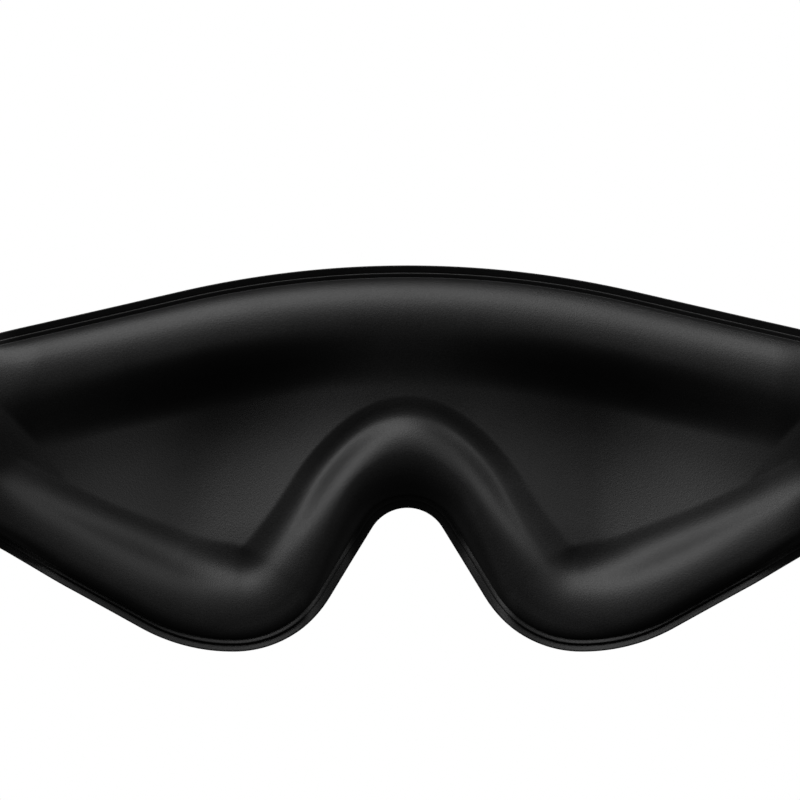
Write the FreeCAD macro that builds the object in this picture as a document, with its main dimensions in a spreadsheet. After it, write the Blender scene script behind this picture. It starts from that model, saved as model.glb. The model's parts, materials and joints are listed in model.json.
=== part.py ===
import FreeCAD, Part
import math
import os

import Sketcher

# Contoured sleep mask with a two-piece elastic band that closes with hook and loop.
#
# Frame, in millimetres: +X to the wearer's right side of the sheet, +Z up, +Y away from the
# face.  The origin is where the padded ridge touches the bridge of the nose.  "Height" below
# means height towards the face (-Y) above the plane of the mask's pressed edge.

DIMENSIONS = [
    # outline of the mask, seen along Y
    ("half_width", 126.0, "centre to the end of the mask"),
    ("crown_rise", 46.0, "top edge above the origin"),
    ("crown_radius", 262.0, "arc of the top edge"),
    ("brow_slope", 13.6, "degrees, fall of the top edge outside the arc"),
    ("corner_radius", 14.0, "corners at the ends"),
    ("wing_angle", 29.5, "degrees, rise of the lower edge towards the ends"),
    ("lobe_offset", 46.0, "centre to the lowest point of a cheek lobe"),
    ("lobe_drop", 57.8, "lowest point of a cheek lobe below the origin"),
    ("lobe_inner_radius", 29.5, "lobe arc on the nose side"),
    ("lobe_outer_radius", 51.0, "lobe arc on the temple side"),
    ("nose_radius", 11.2, "arc of the nose notch"),
    ("nose_drop", 20.0, "top of the nose notch below the origin"),
    ("head_radius", 330.0, "sweep of the whole mask round the face"),
    # layers
    ("cover_gauge", 0.9, "outer cover"),
    ("lining_gauge", 0.65, "face lining"),
    ("blackout_gauge", 0.4, "light-blocking interlining"),
    ("glue_gap", 0.2, "space kept between laminated layers"),
    ("edge_gap", 0.4, "space between cover and lining at the pressed edge"),
    ("lining_inset", 2.0, "cover edge to lining edge"),
    ("foam_inset", 5.0, "cover edge to foam and interlining edge"),
    # relief
    ("flange_width", 2.8, "pressed flat edge, before the foam rises"),
    ("floor_depth", 3.7, "foam and interlining under the eye cavity"),
    ("ridge_rise", 9.0, "ridge above the cavity floor"),
    ("rim_roll", 5.0, "pressed edge to the full depth of the floor"),
    ("end_share", 0.6, "depth of the floor at the ends, as a share of floor_depth"),
    ("end_clearance", 8.0, "end of the mask to the end of the ridges"),
    ("taper_length", 24.0, "the ridges fade out over this length at the ends"),
    ("crest_inset", 12.0, "lower edge to the ridge crest"),
    ("foot_inset", 22.5, "lower edge to the foot of the ridge"),
    ("nose_crest_extra", 8.0, "the crest lies this much further in over the nose"),
    ("lobe_foot_extra", 4.0, "the foot lies this much further in at the lobes"),
    ("brow_crest_inset", 13.0, "top edge to the brow crest"),
    ("brow_foot_inset", 33.0, "top edge to the foot of the brow pad"),
    ("eye_offset", 40.0, "centre to the middle of an eye dome"),
    ("dome_depth", 5.5, "eye dome beyond the front of the mask"),
    ("dome_reach_x", 30.0, "an eye dome fades over this distance sideways"),
    ("dome_reach_z", 26.0, "an eye dome fades over this distance up and down"),
    ("bulge_depth", 2.5, "front of the mask beyond its pressed edge"),
    ("bulge_roll", 26.0, "edge to the full bulge of the front"),
    # elastic band
    ("band_width", 24.5, "elastic band"),
    ("band_gauge", 1.4, "elastic band"),
    ("seam_length", 15.0, "band sewn to the cover"),
    ("seam_reach", 4.0, "end of the mask to the line where the band folds"),
    ("seam_gap", 0.3, "band above the cover"),
    ("fold_radius", 1.9, "rounded fold where the band leaves its seam"),
    ("fold_clearance", 0.15, "band face to the fold line"),
    ("fold_setback", 2.4, "fold line to the start of the temple run"),
    ("temple_length", 62.0, "fold line to the bend behind the ear"),
    ("rear_length", 113.0, "bend to the tip"),
    ("bend_gap", 0.3, "rounded end of the temple run to the rear run"),
    ("temple_lean", 3.0, "degrees, inward from straight back"),
    ("rear_lean", 11.0, "degrees, inward from straight back"),
    ("patch_gauge", 0.6, "patch over the sewn end"),
    ("patch_length", 9.0, "patch over the sewn end"),
    ("patch_start", 5.5, "fold line to the patch"),
    ("patch_width", 20.0, "patch over the sewn end"),
    ("thread_gauge", 0.3, "sewing thread"),
    ("tack_spacing", 5.0, "between the two bar tacks"),
    ("tack_width", 1.0, "each bar tack"),
    ("stitch_inset", 1.5, "edge of a sewn patch to its stitching"),
    ("fastener_gauge", 1.2, "hook patch and loop patch"),
    ("fastener_width", 20.0, "hook patch and loop patch"),
    ("hook_length", 42.0, "hook patch"),
    ("loop_length", 58.0, "loop patch"),
    ("fastener_setback", 3.0, "band tip to the hook or loop patch"),
    ("hem_length", 12.0, "folded hem at the band tip"),
    ("hem_gauge", 1.2, "folded hem at the band tip"),
    ("sewn_gap", 0.1, "space between sewn pieces"),
]

GRID_STEP = 3.0  # spacing of the points that the relief surfaces pass through
GRID_MARGIN = 9.0  # the relief surfaces run this far past the outline
BLOCK_DEPTH = 70.0  # deeper than the whole mask, for the solids that are cut back

doc = FreeCAD.newDocument("sleep_mask")


def make_sheet():
    """The spreadsheet of driving dimensions, one alias a row."""
    sheet = doc.addObject("Spreadsheet::Sheet", "Dims")
    for row, (alias, value, note) in enumerate(DIMENSIONS, start=1):
        sheet.set(f"A{row}", alias)
        sheet.set(f"B{row}", str(value))
        sheet.set(f"C{row}", note)
        sheet.setAlias(f"B{row}", alias)
    doc.recompute()
    return sheet


SHEET = make_sheet()


def dim(alias):
    """One driving dimension, as a number."""
    return float(SHEET.get(alias))


# ---------------------------------------------------------------- outline

def outline(inset=0.0):
    """The right half of the mask's outline, moved in by inset: arcs as (centre, radius) and
    the points where neighbours meet, from the top centre round to the nose notch."""
    crown = dim("crown_radius") - inset
    slope = math.radians(dim("brow_slope"))
    corner = dim("corner_radius") - inset
    wing = math.radians(dim("wing_angle"))
    outer = dim("lobe_outer_radius") - inset
    inner = dim("lobe_inner_radius") - inset
    nose = dim("nose_radius") + inset
    crown_centre = (0.0, dim("crown_rise") - dim("crown_radius"))
    outer_centre = (dim("lobe_offset"), dim("lobe_outer_radius") - dim("lobe_drop"))
    inner_centre = (dim("lobe_offset"), dim("lobe_inner_radius") - dim("lobe_drop"))
    nose_centre = (0.0, -dim("nose_drop") - dim("nose_radius"))
    end = dim("half_width") - inset

    def on(centre, radius, angle):
        return (centre[0] + radius * math.cos(angle), centre[1] + radius * math.sin(angle))

    brow_angle = math.pi / 2 - slope
    brow = on(crown_centre, crown, brow_angle)
    wing_start = on(outer_centre, outer, wing - math.pi / 2)
    # each corner arc touches its sloping edge and the upright end
    corner_x = end - corner
    upper_centre = (
        corner_x,
        brow[1] - math.tan(slope) * (corner_x - brow[0]) - corner / math.cos(slope),
    )
    lower_centre = (
        corner_x,
        wing_start[1] + math.tan(wing) * (corner_x - wing_start[0]) + corner / math.cos(wing),
    )
    # the flank is the crossing tangent of the nose arc and the inner lobe arc
    across = (inner_centre[0] - nose_centre[0], inner_centre[1] - nose_centre[1])
    flank = math.atan2(across[1], across[0]) + math.acos((nose + inner) / math.hypot(*across))
    return {
        "crown": (crown_centre, crown),
        "upper": (upper_centre, corner),
        "lower": (lower_centre, corner),
        "outer": (outer_centre, outer),
        "inner": (inner_centre, inner),
        "nose": (nose_centre, nose),
        "points": [
            on(crown_centre, crown, math.pi / 2),
            brow,
            on(upper_centre, corner, brow_angle),
            (end, upper_centre[1]),
            (end, lower_centre[1]),
            on(lower_centre, corner, wing - math.pi / 2),
            wing_start,
            on(outer_centre, outer, -math.pi / 2),
            on(inner_centre, inner, flank + math.pi),
            on(nose_centre, nose, flank),
            on(nose_centre, nose, math.pi / 2),
        ],
    }


# what joins each point of the outline to the next: an arc by name, or a straight edge
EDGES = ["crown", None, "upper", None, "lower", None, "outer", "inner", None, "nose"]
TOP_EDGES = (0, 1, 2)
LOWER_EDGES = (4, 5, 6, 7, 8, 9)


def distance_to_edge(shape, index, x, z):
    """How far a point of the right half lies from one edge of the outline."""
    start, stop = shape["points"][index], shape["points"][index + 1]
    name = EDGES[index]
    if name is None:
        run = (stop[0] - start[0], stop[1] - start[1])
        share = ((x - start[0]) * run[0] + (z - start[1]) * run[1]) / (run[0] ** 2 + run[1] ** 2)
        share = min(1.0, max(0.0, share))
        return math.hypot(x - start[0] - share * run[0], z - start[1] - share * run[1])
    centre, radius = shape[name]

    def bearing(point):
        return math.atan2(point[1] - centre[1], point[0] - centre[0])

    low, high = sorted((bearing(start), bearing(stop)))
    if low <= bearing((x, z)) <= high:
        return abs(math.hypot(x - centre[0], z - centre[1]) - radius)
    return min(math.hypot(x - p[0], z - p[1]) for p in (start, stop))


def inside(shape, x, z):
    """Whether a point of the right half lies within the outline."""
    if x > dim("half_width") or z > dim("crown_rise"):
        return False
    polygon = [(0.0, shape["points"][0][1])]
    for index, name in enumerate(EDGES):
        start, stop = shape["points"][index], shape["points"][index + 1]
        if name is not None:
            centre, radius = shape[name]
            low = math.atan2(start[1] - centre[1], start[0] - centre[0])
            high = math.atan2(stop[1] - centre[1], stop[0] - centre[0])
            for step in range(1, 12):
                angle = low + (high - low) * step / 12
                polygon.append(
                    (centre[0] + radius * math.cos(angle), centre[1] + radius * math.sin(angle))
                )
        polygon.append(stop)
    crossings = 0
    for (ax, az), (bx, bz) in zip(polygon, polygon[1:]):
        if (az > z) != (bz > z) and x < ax + (z - az) * (bx - ax) / (bz - az):
            crossings += 1
    return crossings % 2 == 1


# ---------------------------------------------------------------- relief

def smooth(share):
    """0 below 0, 1 above 1, with level ends between."""
    share = min(1.0, max(0.0, share))
    return share * share * (3 - 2 * share)


def hump(offset, reach):
    """A bell that is 1 at no offset."""
    return math.exp(-((offset / reach) ** 2))


def sweep(x):
    """How far the mask has curved back round the face at x."""
    radius = dim("head_radius")
    return radius - math.sqrt(radius * radius - x * x)


def ridge(depth, crest, foot):
    """0 to 1: up from the pressed edge to the crest, then down to the cavity floor."""
    flange = dim("flange_width")
    if depth < crest:
        return smooth((depth - flange) / (crest - flange))
    return 1 - smooth((depth - crest) / (foot - crest))


def relief(shape, x, z):
    """(thickness of the foam layers, bulge of the front) at a point of the mask."""
    x = abs(x)
    if not inside(shape, x, z):
        return 0.0, 0.0
    lower = min(distance_to_edge(shape, i, x, z) for i in LOWER_EDGES)
    top = min(distance_to_edge(shape, i, x, z) for i in TOP_EDGES)
    nearest = min(lower, top, distance_to_edge(shape, 3, x, z))
    nose_share = hump(x, dim("nose_radius"))
    lobe_share = hump(x - dim("lobe_offset"), dim("lobe_inner_radius") / 2)
    crest = dim("crest_inset") + dim("nose_crest_extra") * nose_share
    foot = (
        dim("foot_inset")
        + dim("nose_crest_extra") * nose_share
        + dim("lobe_foot_extra") * lobe_share
    )
    low_ridge = ridge(lower, crest, foot)
    brow = ridge(top, dim("brow_crest_inset"), dim("brow_foot_inset"))
    together = 1 - (1 - low_ridge) * (1 - brow)
    taper = smooth((dim("half_width") - dim("end_clearance") - x) / dim("taper_length"))
    rim_rise = smooth((nearest - dim("flange_width")) / dim("rim_roll"))
    share = dim("end_share")
    thickness = dim("floor_depth") * rim_rise * (share + (1 - share) * taper)
    thickness += dim("ridge_rise") * together * taper
    # the front is flat under the sewn band
    band_side = dim("half_width") - dim("seam_length") - dim("flange_width")
    front_taper = smooth((band_side - x) / dim("taper_length"))
    dome = hump(x - dim("eye_offset"), dim("dome_reach_x")) * hump(z, dim("dome_reach_z"))
    bulge = (dim("bulge_depth") + dim("dome_depth") * dome) * front_taper
    return thickness, bulge * smooth(nearest / dim("bulge_roll"))


def grid_values(function):
    """function(x, z) on the even grid under the relief surfaces, with its start and steps."""
    width = dim("half_width") + GRID_MARGIN
    bottom = -dim("lobe_drop") - GRID_MARGIN
    top = dim("crown_rise") + GRID_MARGIN
    columns = 2 * math.ceil(width / GRID_STEP)
    rows = math.ceil((top - bottom) / GRID_STEP)
    x_step = 2 * width / columns
    z_step = (top - bottom) / rows
    values = [
        [function(-width + i * x_step, bottom + j * z_step) for j in range(rows + 1)]
        for i in range(columns + 1)
    ]
    return values, (-width, x_step, bottom, z_step)


def relief_tables():
    """Thickness, bulge and sweep on the grid, and the height that puts the nose at the origin."""
    shape = outline()
    both, spacing = grid_values(lambda x, z: relief(shape, x, z))
    back, _ = grid_values(lambda x, z: sweep(x))
    thickness, bulge = relief(shape, 0.0, 0.0)
    seat = thickness - bulge + dim("edge_gap") + dim("lining_gauge")
    return both, back, seat, spacing


RELIEF, BACK, SEAT, SPACING = relief_tables()


def slab(name, gauge, face_share, lift):
    """A layer of even gauge.  Its face side is lift above the front of the mask, plus
    face_share (0 or 1) times the foam's thickness."""
    values = [
        [
            face_share * thick - bulge + lift + back - SEAT
            for (thick, bulge), back in zip(column, backs)
        ]
        for column, backs in zip(RELIEF, BACK)
    ]
    surface = Part.BSplineSurface()
    surface.interpolate(values, *SPACING)
    layer = doc.addObject("Part::Feature", name)
    layer.Shape = surface.toShape().extrude(FreeCAD.Vector(0, 0, -gauge))
    layer.Placement = FreeCAD.Placement(
        FreeCAD.Vector(), FreeCAD.Rotation(FreeCAD.Vector(1, 0, 0), 90)
    )
    return layer


# ---------------------------------------------------------------- sketches

def origin_plane(body, role):
    """One of a body's own origin planes."""
    return next(f for f in body.Origin.OriginFeatures if f.Role == role)


def new_sketch(body, name, role):
    """An empty sketch on one of the body's origin planes."""
    sketch = body.newObject("Sketcher::SketchObject", name)
    sketch.AttachmentSupport = [(origin_plane(body, role), "")]
    sketch.MapMode = "FlatFace"
    return sketch


def bind(sketch, kind, *target, expression, value):
    """Add a dimension to a sketch and tie it to the spreadsheet."""
    index = sketch.addConstraint(Sketcher.Constraint(kind, *target, value))
    sketch.setExpression(f"Constraints[{index}]", expression)


def pad_both_ways(body, sketch, name, expression):
    """Pad a sketch evenly to both sides of its plane."""
    pad = body.newObject("PartDesign::Pad", name)
    pad.Profile = sketch
    pad.Midplane = True
    pad.setExpression("Length", expression)
    return pad


def outline_sketch(body, name, inset_alias):
    """The right half of the outline, closed along the middle, moved in by a named inset."""
    inset = dim(inset_alias) if inset_alias else 0.0
    shape = outline(inset)
    points = [FreeCAD.Vector(x, z, 0) for x, z in shape["points"]]
    sketch = new_sketch(body, name, "XZ_Plane")
    for index, edge in enumerate(EDGES):
        start, stop = points[index], points[index + 1]
        if edge is None:
            sketch.addGeometry(Part.LineSegment(start, stop))
            continue
        centre, radius = shape[edge]
        middle = FreeCAD.Vector(centre[0], centre[1], 0)
        low = math.atan2(start.y - middle.y, start.x - middle.x)
        high = math.atan2(stop.y - middle.y, stop.x - middle.x)
        circle = Part.Circle(middle, FreeCAD.Vector(0, 0, 1), radius)
        sketch.addGeometry(Part.ArcOfCircle(circle, min(low, high), max(low, high)))
    sketch.addGeometry(Part.LineSegment(points[-1], points[0]))
    # an arc's own start is its end with the smaller angle
    rising = {"nose"}
    first, last = {}, {}
    for index, edge in enumerate(EDGES):
        reverse = edge is not None and edge not in rising
        first[index], last[index] = (2, 1) if reverse else (1, 2)
    for index in range(len(EDGES) - 1):
        sketch.addConstraint(
            Sketcher.Constraint("Tangent", index, last[index], index + 1, first[index + 1])
        )
    closing = len(EDGES)
    sketch.addConstraint(Sketcher.Constraint("Coincident", closing - 1, last[closing - 1], closing, 1))
    sketch.addConstraint(Sketcher.Constraint("Coincident", closing, 2, 0, first[0]))
    on_axis = [(closing, 1), (closing, 2), (0, 3), (closing - 1, 3)]
    for geometry, vertex in on_axis:
        sketch.addConstraint(Sketcher.Constraint("PointOnObject", geometry, vertex, -2))
    sketch.addConstraint(Sketcher.Constraint("Vertical", 3))
    minus = f" - Dims.{inset_alias}" if inset_alias else ""
    plus = f" + Dims.{inset_alias}" if inset_alias else ""
    at = EDGES.index
    crown, outer, inner, nose = (shape[e] for e in ("crown", "outer", "inner", "nose"))
    radii = [
        ("crown", f"Dims.crown_radius{minus}"),
        ("upper", f"Dims.corner_radius{minus}"),
        ("lower", f"Dims.corner_radius{minus}"),
        ("outer", f"Dims.lobe_outer_radius{minus}"),
        ("inner", f"Dims.lobe_inner_radius{minus}"),
        ("nose", f"Dims.nose_radius{plus}"),
    ]
    for edge, expression in radii:
        bind(sketch, "Radius", at(edge), expression=expression, value=shape[edge][1])
    places = [
        ("DistanceY", at("crown"), 3, "Dims.crown_rise - Dims.crown_radius", crown[0][1]),
        ("DistanceX", at("outer"), 3, "Dims.lobe_offset", outer[0][0]),
        ("DistanceX", at("inner"), 3, "Dims.lobe_offset", inner[0][0]),
        ("DistanceY", at("inner"), 3, "Dims.lobe_inner_radius - Dims.lobe_drop", inner[0][1]),
        ("DistanceY", at("nose"), 3, "-Dims.nose_drop - Dims.nose_radius", nose[0][1]),
        ("DistanceX", 3, 1, f"Dims.half_width{minus}", points[3].x),
        ("DistanceX", 1, 1, f"(Dims.crown_radius{minus}) * sin(Dims.brow_slope * 1 deg)", points[1].x),
        (
            "DistanceX",
            5,
            2,
            f"Dims.lobe_offset + (Dims.lobe_outer_radius{minus}) * sin(Dims.wing_angle * 1 deg)",
            points[6].x,
        ),
    ]
    for kind, geometry, vertex, expression, value in places:
        bind(sketch, kind, geometry, vertex, expression=expression, value=value)
    return sketch


def outline_prism(name, inset_alias):
    """A tall prism on the whole outline, made as one half and its mirror image."""
    body = doc.addObject("PartDesign::Body", name)
    sketch = outline_sketch(body, f"{name}_outline", inset_alias)
    pad = pad_both_ways(body, sketch, f"{name}_pad", f"{3 * BLOCK_DEPTH} mm")
    mirror = body.newObject("PartDesign::Mirrored", f"{name}_mirror")
    mirror.Originals = [pad]
    mirror.MirrorPlane = (origin_plane(body, "YZ_Plane"), [""])
    body.Tip = mirror
    return body


# ---------------------------------------------------------------- layers of the mask

def common(label, first, second):
    """The part of one object that lies within another."""
    shared = doc.addObject("Part::Common", label)
    shared.Label = label
    shared.Base = first
    shared.Tool = second
    return shared


def make_layers():
    """The four laminated layers, from the front of the mask to the face."""
    cover = dim("cover_gauge")
    glue = dim("glue_gap")
    blackout = dim("blackout_gauge")
    lining = dim("lining_gauge")
    edge = dim("edge_gap")
    full = outline_prism("cover_outline", "")
    face = outline_prism("lining_outline", "lining_inset")
    core = outline_prism("foam_outline", "foam_inset")
    core_too = outline_prism("blackout_outline", "foam_inset")
    layers = [
        common("outer_cover", full, slab("cover_slab", cover, 0, 0.0)),
        common("face_lining", face, slab("lining_slab", lining, 1, edge + lining)),
        common(
            "blackout_interlining",
            core_too,
            slab("blackout_slab", blackout, 0, glue + blackout),
        ),
    ]
    raised = common("foam_block", core, slab("foam_face", BLOCK_DEPTH, 1, edge - glue))
    foam = doc.addObject("Part::Cut", "foam_core")
    foam.Label = "foam_core"
    foam.Base = raised
    foam.Tool = slab("foam_back", 2 * BLOCK_DEPTH, 0, 2 * glue + blackout)
    return [*layers, foam]


# ---------------------------------------------------------------- elastic band

class Frame:
    """A place on the band: an origin in plan and the heading of its run, right side or left.

    Along a frame, u runs towards the tip and n away from the head."""

    def __init__(self, side, x, y, heading):
        self.side = side
        self.x = x
        self.y = y
        self.heading = math.radians(heading)

    def step(self, u, n, turn=0.0):
        """The frame that lies u along and n out from this one, turned inward by turn."""
        along = (math.cos(self.heading), math.sin(self.heading))
        x = self.x + u * along[0] - n * along[1]
        y = self.y + u * along[1] + n * along[0]
        return Frame(self.side, x, y, math.degrees(self.heading) - turn)

    def placement(self, u=0.0, n=0.0, up=0.0):
        """The placement of a piece whose own origin is at u, n and a height."""
        there = self.step(u, n)
        angle = math.degrees(self.heading)
        if self.side < 0:
            angle = 180 - angle
        base = FreeCAD.Vector(self.side * there.x, there.y, up)
        return FreeCAD.Placement(base, FreeCAD.Rotation(FreeCAD.Vector(0, 0, 1), angle))


def band_height():
    """The middle of the mask's upright end, which the band is centred on."""
    points = outline()["points"]
    return (points[3][1] + points[4][1]) / 2


def seam_frame(side):
    """The fold line at the end of the mask, heading outward along the cover."""
    middle = dim("half_width") - dim("seam_length") / 2
    slope = math.asin(middle / dim("head_radius"))
    surface = Frame(side, middle, dim("cover_gauge") + SEAT - sweep(middle), -math.degrees(slope))
    along = (dim("half_width") - middle) / math.cos(slope) + dim("seam_reach")
    out = dim("seam_gap") + dim("band_gauge") + dim("fold_clearance")
    return surface.step(along, out)


def band_frames(side):
    """The seam, the temple run and the rear run as they hang open."""
    seam = seam_frame(side)
    temple = Frame(side, seam.x, seam.y, -90 - dim("temple_lean"))
    middle = -dim("fold_clearance") - dim("band_gauge") / 2
    rear = temple.step(dim("temple_length"), middle, dim("rear_lean") - dim("temple_lean"))
    return seam, temple, rear


def plate(label, frame, start, low, length, gauge, width):
    """A flat piece on the band: where it starts along and out from the band's line, and its
    length, gauge and width as expressions of the spreadsheet."""
    box = doc.addObject("Part::Box", label)
    box.Label = label
    box.setExpression("Length", length)
    box.setExpression("Width", gauge)
    box.setExpression("Height", width)
    box.recompute()
    if frame.side < 0:
        low = -low - box.Width.Value
    turned = frame.placement(start, 0.0, band_height() - box.Height.Value / 2)
    across = turned.Rotation.multVec(FreeCAD.Vector(0, low, 0))
    box.Placement = FreeCAD.Placement(turned.Base + across, turned.Rotation)
    return box


def rectangle(sketch, left, right, low, high):
    """A rectangle in a sketch from four (value, expression) pairs."""
    corners = [
        (left[0], low[0]),
        (right[0], low[0]),
        (right[0], high[0]),
        (left[0], high[0]),
    ]
    first = sketch.GeometryCount
    for here, there in zip(corners, corners[1:] + corners[:1]):
        sketch.addGeometry(Part.LineSegment(FreeCAD.Vector(*here, 0), FreeCAD.Vector(*there, 0)))
    for index in range(4):
        following = first + (index + 1) % 4
        sketch.addConstraint(Sketcher.Constraint("Coincident", first + index, 2, following, 1))
    for index, kind in enumerate(("Horizontal", "Vertical", "Horizontal", "Vertical")):
        sketch.addConstraint(Sketcher.Constraint(kind, first + index))
    bind(sketch, "DistanceX", first, 1, expression=left[1], value=left[0])
    bind(sketch, "DistanceX", first, 2, expression=right[1], value=right[0])
    bind(sketch, "DistanceY", first, 1, expression=low[1], value=low[0])
    bind(sketch, "DistanceY", first + 2, 1, expression=high[1], value=high[0])


def disc(sketch, along, across, radius):
    """A circle in a sketch from (value, expression) pairs."""
    centre = FreeCAD.Vector(along[0], across[0], 0)
    index = sketch.addGeometry(Part.Circle(centre, FreeCAD.Vector(0, 0, 1), radius[0]))
    bind(sketch, "DistanceX", index, 3, expression=along[1], value=along[0])
    bind(sketch, "DistanceY", index, 3, expression=across[1], value=across[0])
    bind(sketch, "Radius", index, expression=radius[1], value=radius[0])


def face_levels(side):
    """The two faces of the band beside its fold line, as (value, expression), low side first."""
    near = dim("fold_clearance")
    far = near + dim("band_gauge")
    inner = (-side * far, f"{-side} * (Dims.fold_clearance + Dims.band_gauge)")
    outer = (-side * near, f"{-side} * Dims.fold_clearance")
    return (inner, outer) if side > 0 else (outer, inner)


def band_run(label, frame, start, stop, round_at, round_radius):
    """A run of elastic beside its fold line, with a rounded end that the next run turns on."""
    body = doc.addObject("PartDesign::Body", label)
    body.Label = label
    strip = new_sketch(body, f"{label}_strip", "XY_Plane")
    low, high = face_levels(frame.side)
    rectangle(strip, start, stop, low, high)
    pad_both_ways(body, strip, f"{label}_run", "Dims.band_width")
    turn = new_sketch(body, f"{label}_turn", "XY_Plane")
    disc(turn, stop, round_at, round_radius)
    pad_both_ways(body, turn, f"{label}_round", "Dims.band_width")
    body.Placement = frame.placement(0.0, 0.0, band_height())
    return body


def make_band(side, name, fastener, facing):
    """One side's band: sewn end, patch, bar tacks, two runs, fastener, its stitching, hem.

    facing is -1 for a fastener on the face towards the head and 1 for one on the other face."""
    seam, temple, rear = band_frames(side)
    gauge = dim("band_gauge")
    clear = dim("fold_clearance")
    gap = dim("sewn_gap")
    sewn = dim("seam_length") + dim("seam_reach")
    anchor = band_run(
        f"{name}_band_anchor",
        seam,
        (-sewn, "-Dims.seam_length - Dims.seam_reach"),
        (0.0, "0"),
        (0.0, "0"),
        (dim("fold_radius"), "Dims.fold_radius"),
    )
    temple_run = band_run(
        f"{name}_temple_band",
        temple,
        (dim("fold_setback"), "Dims.fold_setback"),
        (dim("temple_length"), "Dims.temple_length"),
        (
            -side * (clear + gauge / 2),
            f"{-side} * (Dims.fold_clearance + Dims.band_gauge / 2)",
        ),
        (gauge / 2, "Dims.band_gauge / 2"),
    )
    rear_start = gauge / 2 + dim("bend_gap")
    rear_run = plate(
        f"{name}_rear_band",
        rear,
        rear_start,
        -gauge / 2,
        "Dims.rear_length - Dims.band_gauge / 2 - Dims.bend_gap",
        "Dims.band_gauge",
        "Dims.band_width",
    )
    patch = plate(
        f"{name}_end_patch",
        seam,
        -dim("patch_start") - dim("patch_length"),
        gap - clear,
        "Dims.patch_length",
        "Dims.patch_gauge",
        "Dims.patch_width",
    )
    tack_level = gap - clear + dim("patch_gauge") + gap
    tack_middle = -dim("patch_start") - dim("patch_length") / 2
    tacks = doc.addObject("Part::Compound", f"{name}_bar_tacks")
    tacks.Label = f"{name}_bar_tacks"
    tacks.Links = [
        plate(
            f"{name}_tack_{number}",
            seam,
            tack_middle + offset * dim("tack_spacing") / 2 - dim("tack_width") / 2,
            tack_level,
            "Dims.tack_width",
            "Dims.thread_gauge",
            "Dims.patch_width - 2 * Dims.stitch_inset",
        )
        for number, offset in ((1, -1), (2, 1))
    ]
    length = dim(f"{fastener}_length")
    fastener_start = dim("rear_length") - dim("fastener_setback") - length
    offset = gauge / 2 + gap
    pad_level = offset if facing > 0 else -offset - dim("fastener_gauge")
    pad_piece = plate(
        f"{name}_{fastener}_patch",
        rear,
        fastener_start,
        pad_level,
        f"Dims.{fastener}_length",
        "Dims.fastener_gauge",
        "Dims.fastener_width",
    )
    thread = dim("thread_gauge")
    offset += dim("fastener_gauge") + gap
    thread_level = offset if facing > 0 else -offset - thread
    inset = dim("stitch_inset")
    outer = plate(
        f"{name}_stitch_outside",
        rear,
        fastener_start + inset,
        thread_level,
        f"Dims.{fastener}_length - 2 * Dims.stitch_inset",
        "Dims.thread_gauge",
        "Dims.fastener_width - 2 * Dims.stitch_inset",
    )
    line = dim("tack_width")
    inner = plate(
        f"{name}_stitch_inside",
        rear,
        fastener_start + inset + line,
        thread_level - thread,
        f"Dims.{fastener}_length - 2 * Dims.stitch_inset - 2 * Dims.tack_width",
        "3 * Dims.thread_gauge",
        "Dims.fastener_width - 2 * Dims.stitch_inset - 2 * Dims.tack_width",
    )
    stitching = doc.addObject("Part::Cut", f"{name}_{fastener}_stitching")
    stitching.Label = f"{name}_{fastener}_stitching"
    stitching.Base = outer
    stitching.Tool = inner
    hem_offset = gauge / 2 + gap
    hem = plate(
        f"{name}_tip_hem",
        rear,
        dim("rear_length") - dim("hem_length"),
        -hem_offset - dim("hem_gauge") if facing > 0 else hem_offset,
        "Dims.hem_length",
        "Dims.hem_gauge",
        "Dims.band_width",
    )
    return [anchor, patch, tacks, temple_run, rear_run, pad_piece, stitching, hem]


# ---------------------------------------------------------------- build and write

def check(parts):
    """Stop if the document or any piece of the mask failed."""
    failed = [o.Name for o in doc.Objects if {"Invalid", "Error"} & set(o.State)]
    failed += [p.Label for p in parts if p.Shape.isNull() or not p.Shape.isValid()]
    if failed:
        raise RuntimeError(f"these objects failed: {failed}")


def main():
    """Build every piece, check it and write it as parts/NODE.step."""
    parts = make_layers()
    parts += make_band(1, "right", "loop", 1)
    parts += make_band(-1, "left", "hook", -1)
    doc.recompute()
    check(parts)
    os.makedirs("parts", exist_ok=True)
    for part in parts:
        part.Shape.exportStep(f"parts/{part.Label}.step")
        print(f"{part.Label}: {part.Shape.Volume:.1f} mm3, {len(part.Shape.Solids)} solid(s)")


main()
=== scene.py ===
"""The looks of a contoured sleep eye mask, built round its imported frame.

The classes work in millimetres, in the frame's axes: X towards the wearer's right, Y away
from the face, Z up, from the crest over the nose bridge.  Meshes are written in metres.
"""

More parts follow.
